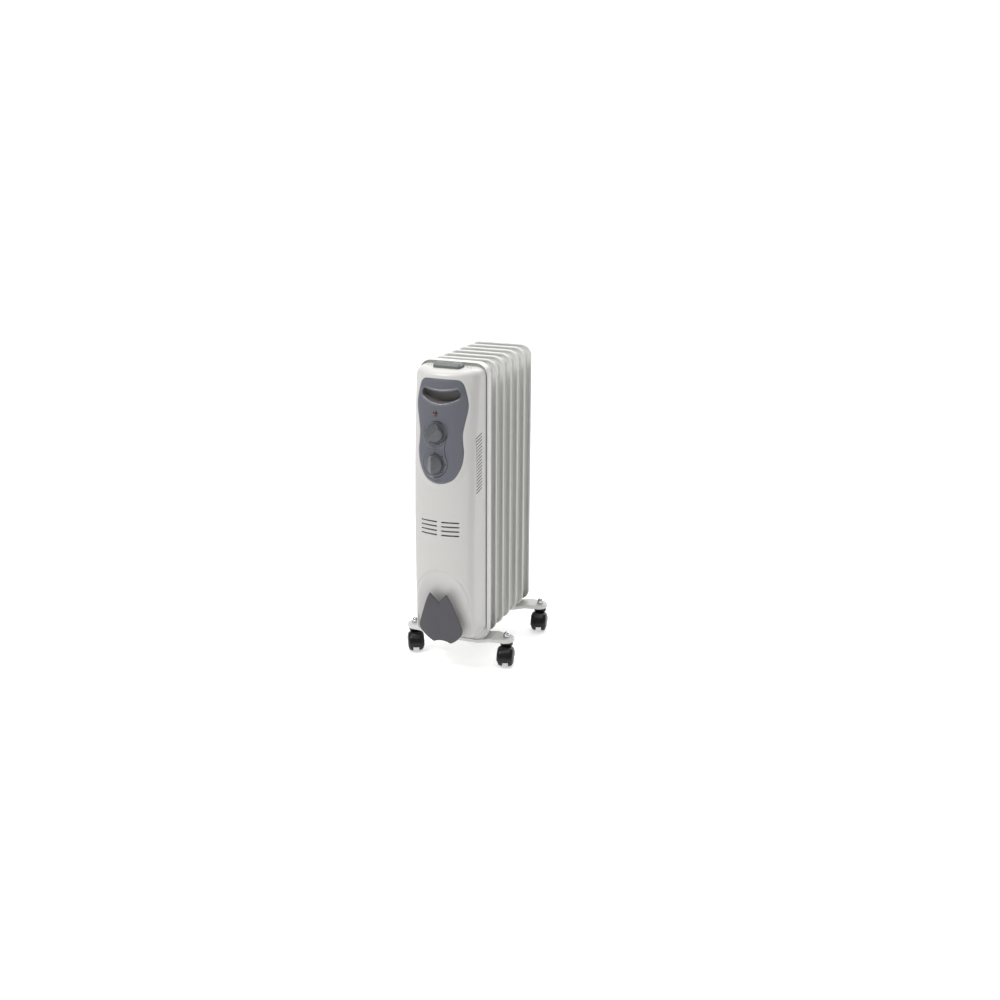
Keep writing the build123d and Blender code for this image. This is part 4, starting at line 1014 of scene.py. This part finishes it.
def build_lamp():
    """Domed lens with a stepped foot."""
    form = CoverForm()
    x, z = LAMP
    radius = form.radius(z)
    bow = math.asin(x / radius)
    outward = np.array([math.sin(bow), -math.cos(bow), (z - form.apex) / form.lean])
    origin = np.array([x, form.axis_y - radius * math.cos(bow), z])
    profile = [(0.0, -5.0), (3.6, -5.0), (3.6, 2.7), (4.5, 2.7), (4.5, 3.2)]
    turn = np.radians(np.linspace(8, 90, 16))
    profile += [(4.5 * math.cos(a), 3.2 + 3.4 * math.sin(a)) for a in turn]
    points, faces = skin(lathe(profile, origin, outward, 72))
    lens = mesh_object("lamp_dome", points, faces, "lamp_red", 50.0)
    return settle(lens, HEATER, "lamp_red", "lamp_lens")


def build_top_grip():
    """Grip let into the top: rounded block with a soft bevel and shallow finger grooves."""
    low, high = box_mm("top_grip")
    half_x, half_y = (high[0] - low[0]) / 2, (high[1] - low[1]) / 2
    centre = (low + high) / 2
    rings = []

    def ring(inset, z, grooves=0.0):
        loop = rounded_ring(half_x, -half_y, half_y, 6.0, inset, (70, 30, 10))
        lift = grooves * 0.45 * np.cos(loop[:, 0] / 6.2 * math.pi) * smoothstep(24, 18, np.abs(loop[:, 0]))
        rings.append(np.stack([centre[0] + loop[:, 0], centre[1] + loop[:, 1], z - 0.45 * grooves + lift], 1))

    ring(13.4, low[2])
    ring(2.0, low[2])
    ring(0.0, low[2] + 0.4)
    ring(0.0, high[2] - 4.9)
    for share in np.linspace(0, 1, 7):
        sway = 0.5 * math.sin(math.pi * share) * (0.5 - share)
        ring(0.15 + 4.2 * share + sway, high[2] - 4.5 + 4.4 * share)
    for inset in np.linspace(4.9, 13.4, 14):
        ring(inset, high[2], float(smoothstep(5.0, 8.0, inset)))
    points, faces = skin(rings)
    count = len(rings[0])
    faces.append(tuple(range(count)))
    faces.append(tuple(range(len(points) - count, len(points))))
    grip = mesh_object("grip_skin", points, faces, "grip_grey", 45.0)
    return settle(grip, HEATER, "grip_grey", "top_grip")


# ------------------------------------------------------------------ cord winder

WINDER_FACE_Y = -166.6
WINDER_PIVOT_Z = 120.0
WINDER_LEAN = 9.0


def winder_loop(count):
    flank = catmull([
        (18, 58), (27.5, 39), (38, 10), (46, -14), (47.5, -22), (44.5, -33), (33, -47), (19, -57),
    ], 14)
    foot = catmull([(19, -57), (9, -53.2), (0, -52)], 14)
    right = np.concatenate([np.array([(0, 38), (9, 48)]), flank, foot[1:]])
    loop = resampled(mirrored_loop(right), count)
    for smoothing in range(6):
        loop = (np.roll(loop, 1, axis=0) + 2 * loop + np.roll(loop, -1, axis=0)) / 4
    return loop


def winder_place(flat, depth):
    """Points on the winder's leaning plane; depth goes in from its face."""
    lean = math.radians(WINDER_LEAN)
    face_y, pivot_z = WINDER_FACE_Y, WINDER_PIVOT_Z
    x, up = flat[:, 0], flat[:, 1]
    y = face_y - up * math.sin(lean) + depth * math.cos(lean)
    z = pivot_z + up * math.cos(lean) + depth * math.sin(lean)
    return np.stack([x, y, z], 1)


def build_winder():
    """Horned plate with a rounded edge and a slightly dished face."""
    loop = winder_loop(380)
    middle = np.stack([loop[:, 0] * 0.0, np.clip(loop[:, 1], -20, 24)], 1)
    thick = 3.0
    rings = []
    edge = [(2.5, thick), (0.4, thick), (0.0, thick - 0.4), (0.0, 2.2), (0.15, 1.8), (0.5, 1.4), (1.0, 1.18)]
    for inset, depth in edge:
        rings.append(winder_place(grown(loop, -inset), depth))
    inner = grown(loop, -1.6)
    for share in np.linspace(1, 0, 26):
        flat = middle + (inner - middle) * share
        rings.append(winder_place(flat, np.full(len(loop), 1.1 * share ** 3)))
    points, faces = skin([winder_place(middle, thick)] + rings)
    plate = mesh_object("winder_plate", points, faces, "winder_grey", 40.0)
    return settle(plate, HEATER, "winder_grey", "cord_winder")


# ------------------------------------------------------------------ radiator

def fin_half_thickness(x, z, edge, low, high):
    """Half the thickness of a pressed fin, from the distance to its edge."""
    rim = 2.6 * np.sqrt(np.clip(1 - np.clip(1 - edge / 1.6, 0, 1) ** 2, 0, 1)) * smoothstep(6.2, 3.6, edge)
    bead = 4.4 * smoothstep(9.6, 12.8, edge) * smoothstep(19.6, 16.2, edge)
    lower, upper = low + 47.0, high - 47.0
    header = 4.4 * smoothstep(9.6, 6.4, np.minimum(np.abs(z - lower), np.abs(z - upper))) * (edge > 12)
    off_end = np.maximum(np.maximum(lower - z, z - upper), 0)
    channel = 8.0 * smoothstep(11.6, 7.2, np.hypot(np.abs(x) - 20.0, off_end))
    boss = 8.0 * smoothstep(24.6, 20.6, np.minimum(np.hypot(x, z - lower), np.hypot(x, z - upper)))
    return np.maximum.reduce([rim, bead, header, channel, boss, np.full_like(x, 0.6) * (edge > 0.3)])


def build_fins():
    """Seven pressed fins: rolled rim, outer bead, oil channels and bosses."""
    low, high = box_mm("fin_1")
    insets = np.concatenate([
        [0.0, 0.15, 0.5, 1.0, 1.6, 2.6], np.linspace(3.6, 6.2, 4),
        np.linspace(8.6, 20.2, 16), np.linspace(22, 70.8, 30),
    ])
    rings = []
    for inset in insets:
        loop = rounded_ring(high[0], low[2], high[2], sizes().fin_corner, inset, (26, 96, 14))
        half = fin_half_thickness(loop[:, 0], loop[:, 1], np.full(len(loop), inset), low[2], high[2])
        rings.append((loop, half))
    front = [np.stack([loop[:, 0], -half, loop[:, 1]], 1) for loop, half in rings]
    back = [np.stack([loop[:, 0], half, loop[:, 1]], 1) for loop, half in rings]
    points, faces = skin(front[::-1] + back[1:])
    for index, node in enumerate(FIN_NAMES):
        fin_low, fin_high = box_mm(node)
        moved = points + np.array([0.0, (fin_low[1] + fin_high[1]) / 2, 0.0])
        settle(mesh_object(f"{node}_skin", moved, faces, "fin_enamel", 40.0), HEATER, "fin_enamel", node)


def build_box():
    """Sheet skirt round the first fin with rolled edges and its front plate."""
    low, high = box_mm("rear_box")
    plate_front = low[1] + 2.4
    profile = [(0.0, high[1] - 0.3), (0.0, low[1] + 1.2), (0.12, low[1] + 0.6),
               (0.4, low[1] + 0.2), (0.8, low[1] + 0.02),
               (1.1, low[1] + 0.15), (1.25, low[1] + 0.6), (1.5, plate_front - 0.4), (2.2, plate_front),
               (8.0, plate_front + 0.2), (12.0, plate_front + 0.2), (71.5, plate_front + 0.2),
               (71.5, plate_front + 1.2), (2.4, plate_front + 1.2),
               (1.2, plate_front + 2.0), (1.2, high[1] - 0.3),
               (0.9, high[1]), (0.3, high[1])]
    rings = []
    corner = sizes().fin_corner + 1.7
    for inset, y in profile:
        loop = rounded_ring(high[0], low[2], high[2], corner, inset, (28, 110, 24))
        rings.append(np.stack([loop[:, 0], np.full(len(loop), y), loop[:, 1]], 1))
    points, faces = skin(rings, wrap=True)
    box = mesh_object("box_skirt", points, faces, "box_enamel", 35.0)
    return settle(box, HEATER, "box_enamel", "rear_box")


# ------------------------------------------------------------------ feet

STEM_X = 104.8
FRONT_STEM_Y, REAR_STEM_Y = -64.8, 138.0
BRACKET_HALF_WIDTH = 19.5
BRACKET_TIP_X = 120.7
BRACKET_BOW = 33.0
BRACKET_MIDDLE_Z = 50.8
BRACKET_RISE = 6.2
BRACKET_LIP, BRACKET_SHEET, BRACKET_SHOULDER = 8.0, 2.0, 2.4


def bracket_loop(count):
    half, tip, bow = BRACKET_HALF_WIDTH, BRACKET_TIP_X, BRACKET_BOW
    side = tip - half
    arcs = [
        three_point_arc((-side, -half), (0, -bow), (side, -half), 120),
        three_point_arc((side, -half), (tip, 0), (side, half), 50),
        three_point_arc((side, half), (0, half + 4.0), (-side, half), 120),
        three_point_arc((-side, half), (-tip, 0), (-side, -half), 50),
    ]
    return resampled(np.concatenate(arcs), count)


def build_bracket(name, node, stem_y, facing):
    """Pressed foot bracket: rolled lip, rounded shoulder and a raised tip at each end."""
    loop = bracket_loop(520)
    loop[:, 1] *= -facing
    middle = np.stack([np.clip(loop[:, 0], -100, 100), np.zeros(len(loop))], 1)

    def top(x):
        return BRACKET_MIDDLE_Z + BRACKET_RISE * np.clip((np.abs(x) - 49) / 28, 0, 1)

    rings = []
    lip, sheet, shoulder = BRACKET_LIP, BRACKET_SHEET, BRACKET_SHOULDER

    def ring(flat, below):
        rings.append(np.stack([flat[:, 0], stem_y + flat[:, 1], top(flat[:, 0]) - below], 1))

    for inset, below in ((0.5, lip), (0.0, lip - 0.5), (0.0, 2.6)):
        ring(grown(loop, -inset), below)
    for turn in np.radians(np.linspace(15, 90, 6)):
        ring(grown(loop, -shoulder * (1 - math.cos(turn))), shoulder - shoulder * math.sin(turn))
    deck = grown(loop, -shoulder)
    for share in np.linspace(0.94, 0.0, 15):
        ring(middle + (deck - middle) * share, 0.0)
    for share in np.linspace(0.0, 1.0, 12):
        ring(middle + (grown(loop, -3.2) - middle) * share, sheet)
    ring(grown(loop, -2.2), sheet + 1.0)
    ring(grown(loop, -2.0), lip - 0.3)
    points, faces = skin(rings, wrap=True)
    bracket = mesh_object(name, points, faces, "bracket_white", 40.0)
    return settle(bracket, HEATER, "bracket_white", node)


def build_brackets():
    build_bracket("front_foot", "front_bracket", FRONT_STEM_Y, 1)
    build_bracket("rear_foot", "rear_bracket", REAR_STEM_Y, -1)


def stem_places():
    return [(side * STEM_X, y) for y in (FRONT_STEM_Y, REAR_STEM_Y) for side in (-1, 1)]


def build_nuts():
    """Domed chrome nuts, stamped on the caster stems."""
    count = 72
    turn = np.radians(np.linspace(0, 360, count, endpoint=False))
    flats = 6.5 / np.cos((turn + math.pi / 6) % (math.pi / 3) - math.pi / 6)
    hexagon = np.minimum(flats, 7.25)
    rings = []

    def ring(radius, height):
        rings.append(np.stack([radius * np.cos(turn), radius * np.sin(turn), np.full(count, height)], 1))

    ring(hexagon * 0.0, 0.1)
    ring(hexagon, 0.1)
    for height, limit in ((0.3, 6.9), (0.8, 7.4), (4.6, 7.4), (5.2, 6.9), (5.6, 6.2)):
        ring(np.minimum(hexagon, limit), height)
    for angle in np.radians(np.linspace(0, 90, 14)):
        ring(5.8 * math.cos(angle), 6.1 + 5.8 * math.sin(angle))
    points, faces = skin(rings)
    shape = mesh_object("cap_nut", points, faces, "chrome_nut", 35.0)
    places = [(x, y, BRACKET_MIDDLE_Z + BRACKET_RISE) for x, y in stem_places()]
    nuts = stamped("chrome_nuts", shape, places, material="chrome_nut")
    return settle(nuts, HEATER, "chrome_nut", "cap_nuts")


def caster_frame(name):
    """Stem position and trailing direction of a caster at rest, from its wheels."""
    low_a, high_a = box_mm(f"caster_{name}_wheel_a")
    low_b, high_b = box_mm(f"caster_{name}_wheel_b")
    wheel = (np.minimum(low_a, low_b) + np.maximum(high_a, high_b)) / 2
    side = -1 if "left" in name else 1
    stem = np.array([side * STEM_X, FRONT_STEM_Y if "front" in name else REAR_STEM_Y])
    along = wheel[:2] - stem
    return stem, along / np.linalg.norm(along)


def turned(points, stem, along):
    """Points of a caster drawn along +X, put in their place."""
    x, y, z = points.T
    return np.stack([stem[0] + x * along[0] - y * along[1], stem[1] + x * along[1] + y * along[0], z], 1)


def build_wheel(name, side, stem, along):
    """Twin caster wheel: rounded tread with a mould line, dished face and a hub boss."""
    suffix = "a" if side < 0 else "b"
    radius = sizes().wheel_radius
    inner, outer = 6.3, 17.3
    profile = [(0.0, inner + 0.1), (8.0, inner + 0.1), (radius - 1.2, inner + 0.1),
               (radius - 0.3, inner + 0.6)]
    for share in np.linspace(0, 1, 9):
        line = -0.18 * math.exp(-((share - 0.5) / 0.06) ** 2)
        profile.append((radius - 0.12 * (2 * share - 1) ** 2 + line, inner + 1.0 + 1.8 * share))
    for angle in np.radians(np.linspace(8, 74, 12)):
        profile.append((radius - 8.6 + 8.5 * math.cos(angle), outer - 8.2 + 7.2 * math.sin(angle)))
    profile += [(12.9, outer - 1.1), (12.8, outer - 1.25), (12.5, outer - 1.25), (11.8, outer - 0.65),
                (9.0, outer - 0.35), (6.2, outer - 0.12), (5.6, outer - 0.5), (5.0, outer - 0.5),
                (4.6, outer - 0.05), (0.0, outer - 0.02)]
    rings = lathe(profile, (15.0, 0.0, radius), (0, side, 0), 88)
    points, faces = skin(rings)
    placed = turned(points, stem, along)
    piece = mesh_object(f"{name}_wheel_{suffix}_skin", placed, faces, "wheel_black", 42.0)
    return settle(piece, f"caster_{name}_roller_{suffix}", "wheel_black", f"caster_{name}_wheel_{suffix}")


def build_hood(name, stem, along):
    """Caster hood: a rounded shell over both wheels, its web and the stem's cap."""
    radius, reach = sizes().wheel_radius, 22.5
    start, end = -10.0, 192.0
    wide, wall, shoulder = 17.2, 1.3, 8.0
    section = []
    for radial, order in ((shoulder, 1), (shoulder - wall, -1)):
        for side in (-order, order):
            for angle in np.radians(np.linspace(0, 90, 9))[::-side * order]:
                section.append((reach - shoulder + radial * math.sin(angle),
                                side * (wide - shoulder + radial * math.cos(angle))))
    turn = np.radians(np.linspace(start, end, 64))
    rings = []
    for angle in turn:
        cosine, sine = math.cos(angle), math.sin(angle)
        rings.append(np.array([(15.0 + r * cosine, a, radius + r * sine) for r, a in section]))
    points, faces = skin(rings)
    count = len(section)
    faces.append(tuple(range(count)))
    faces.append(tuple(range(len(points) - count, len(points))))
    parts = [(points, faces)]
    web = []
    for depth, inset in ((-5.5, 0.5), (-5.1, 0.0), (5.1, 0.0), (5.5, 0.5)):
        arc = np.radians(np.linspace(-16, 196, 60))
        r = reach - wall + 0.4 - inset
        web.append(np.stack([15.0 + r * np.cos(arc), np.full(60, depth), radius + r * np.sin(arc)], 1))
    points, faces = skin(web)
    faces += [tuple(range(60)), tuple(range(180, 240))]
    parts.append((points, faces))
    cap = lathe(rounded_profile([(0.0, 24.5), (6.0, 24.5), (6.0, 39.4), (13.0, 39.6), (13.5, 46.5), (0.0, 46.5)], 1.2, 5),
                (0, 0, 0), (0, 0, 1), 56)
    parts.append(skin(cap))
    points, faces = joined(parts)
    piece = mesh_object(f"{name}_hood", turned(points, stem, along), faces, "caster_black", 42.0)
    return settle(piece, f"caster_{name}", "caster_black", f"caster_{name}_housing")


def build_casters():
    for name in CASTER_NAMES:
        stem, along = caster_frame(name)
        build_hood(name, stem, along)
        for side in (-1, 1):
            build_wheel(name, side, stem, along)


# ------------------------------------------------------------------ carried-over CAD nodes

def refinish_cad():
    """Every CAD node that still shows takes the finish of its slot."""
    screws = {"cover_screws": "dark_screw", "panel_screws": "dark_screw", "winder_screws": "winder_grey"}
    for node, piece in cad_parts.items():
        for index, holder in enumerate(piece.material_slots):
            slot_name = holder.material.name.split(".")[0]
            finish = screws.get(node, slot_name)
            if finish in MATERIALS:
                piece.material_slots[index].material = MATERIALS[finish]


# ------------------------------------------------------------------ stage

def build_stage():
    """Pale floor that curves up behind, soft light and the camera."""
    scene = bpy.context.scene
    chosen = scene.radiator_stage
    scene.view_settings.view_transform = "Standard"
    world = bpy.data.worlds.new("studio")
    world.use_nodes = True
    background = world.node_tree.nodes["Background"]
    background.inputs["Color"].default_value = (1.0, 1.0, 1.0, 1.0)
    background.inputs["Strength"].default_value = chosen.ambient
    scene.world = world
    white = (1.0, 1.0, 1.0, 1.0)
    floor_material = Shader("floor", Roughness=0.75, Emission_Strength=0.50, Emission_Color=white)
    wash = floor_material.noise(2.0, 2.0)
    floor_material.feed("Base Color", floor_material.mix(wash, (0.86, 0.86, 0.86, 1), (0.90, 0.90, 0.90, 1)))
    MATERIALS["floor"] = floor_material.material
    far, rise, bend = 4500.0, 3000.0, 1200.0
    section = [(-14000.0, 0.0), (far - bend, 0.0)]
    turns = np.radians(np.linspace(8, 90, 12))
    section += [(far - bend + bend * math.sin(a), bend - bend * math.cos(a)) for a in turns]
    section.append((far, rise))
    rings = [np.array([(x, y, z - 0.05) for y, z in section]) for x in (-12000.0, 9000.0)]
    points = np.concatenate(rings)
    faces = loop_faces(0, len(section), len(section), closed=False)
    floor = mesh_object("floor", points, faces, "floor", 60.0)
    add_light("overhead", (-0.12, 0.04, 1.30), (-0.12, 0.04, 0.0), chosen.key, (0.8, 1.3))
    add_light("front", (-0.75, -1.3, 2.2), (0.0, 0.0, 0.35), chosen.key * 4.0, (0.6, 0.6))
    add_light("backdrop", (0.4, 3.2, 2.6), (0.0, 3.4, 0.0), chosen.rear, (2.4, 2.4))
    add_camera(chosen)


def add_light(name, place, target, power, spread):
    light = bpy.data.lights.new(name, "AREA")
    light.energy = power
    light.shape = "RECTANGLE"
    light.size, light.size_y = spread
    holder = bpy.data.objects.new(name, light)
    bpy.context.scene.collection.objects.link(holder)
    holder.location = place
    holder.rotation_euler = (Vector(place) - Vector(target)).to_track_quat("Z", "Y").to_euler()


def add_camera(chosen):
    camera = bpy.data.cameras.new("camera")
    camera.lens = chosen.lens
    camera.sensor_width = 36.0
    holder = bpy.data.objects.new("camera", camera)
    bpy.context.scene.collection.objects.link(holder)
    a, e, r = chosen.yaw, chosen.pitch, chosen.roll
    back = Vector((math.sin(a) * math.cos(e), -math.cos(a) * math.cos(e), math.sin(e)))
    right = Vector((math.cos(a), math.sin(a), 0.0))
    up = back.cross(right)
    across = right * math.cos(r) + up * math.sin(r)
    above = up * math.cos(r) - right * math.sin(r)
    turn = Matrix((across, above, back)).transposed().to_4x4()
    holder.matrix_world = Matrix.Translation(Vector(chosen.place)) @ turn
    bpy.context.scene.camera = holder


# ------------------------------------------------------------------ add-on

def operator(identifier, label, purpose, action):
    """Operator class that runs one builder."""

    def execute(self, context):
        action()
        return {"FINISHED"}

    body = {
        "__doc__": purpose, "bl_idname": f"radiator.{identifier}", "bl_label": label,
        "bl_options": {"REGISTER"}, "execute": execute,
    }
    return type(f"RADIATOR_OT_{identifier}", (bpy.types.Operator,), body)


GROUPS = [
    ("make_finishes", "Make finishes", "Make every procedural material", make_materials),
    ("build_cover", "Front cover", "Build the moulded front cover", build_cover),
    ("build_panel", "Control panel", "Build the control panel", build_panel),
    ("build_recess", "Hand recess", "Build the cup of the hand recess", build_hand_recess),
    ("build_marks", "Dial marks", "Print the dial marks on the panel", build_dial_marks),
    ("build_knobs", "Knobs", "Build both knobs", build_knobs),
    ("build_lamp", "Pilot lamp", "Build the pilot lamp's lens", build_lamp),
    ("build_grip", "Top grip", "Build the grip in the top", build_top_grip),
    ("build_winder", "Cord winder", "Build the cord winder's plate", build_winder),
    ("build_fins", "Fins", "Build the pressed fins", build_fins),
    ("build_box", "Rear box", "Build the sheet skirt behind the cover", build_box),
    ("build_brackets", "Brackets", "Build both foot brackets", build_brackets),
    ("build_nuts", "Cap nuts", "Stamp the chrome nuts", build_nuts),
    ("build_casters", "Casters", "Build the hoods and wheels of the casters", build_casters),
    ("refinish_cad", "Refinish CAD", "Give the carried-over CAD nodes their finishes", refinish_cad),
    ("build_stage", "Stage", "Set the floor, the lights and the camera", build_stage),
]
OPERATORS = [operator(*group) for group in GROUPS]


class RADIATOR_PT_panel(bpy.types.Panel):
    """Sidebar panel with the settings and one button for each group."""

    bl_label = "Oil Filled Radiator"
    bl_space_type = "VIEW_3D"
    bl_region_type = "UI"
    bl_category = "Radiator"

    def draw(self, context):
        scene = context.scene
        for settings in (scene.radiator_sizes, scene.radiator_finishes, scene.radiator_stage):
            box = self.layout.box()
            for key in settings.__annotations__:
                box.prop(settings, key)
        for made in OPERATORS:
            self.layout.operator(made.bl_idname)


CLASSES = [RADIATOR_PG_sizes, RADIATOR_PG_finishes, RADIATOR_PG_stage, *OPERATORS, RADIATOR_PT_panel]


def register():
    for item in CLASSES:
        bpy.utils.register_class(item)
    bpy.types.Scene.radiator_sizes = bpy.props.PointerProperty(type=RADIATOR_PG_sizes)
    bpy.types.Scene.radiator_finishes = bpy.props.PointerProperty(type=RADIATOR_PG_finishes)
    bpy.types.Scene.radiator_stage = bpy.props.PointerProperty(type=RADIATOR_PG_stage)


def unregister():
    del bpy.types.Scene.radiator_stage
    del bpy.types.Scene.radiator_finishes
    del bpy.types.Scene.radiator_sizes
    for item in reversed(CLASSES):
        bpy.utils.unregister_class(item)


def main():
    register()
    for identifier, label, purpose, action in GROUPS:
        getattr(bpy.ops.radiator, identifier)()


if __name__ == "__main__":
    main()
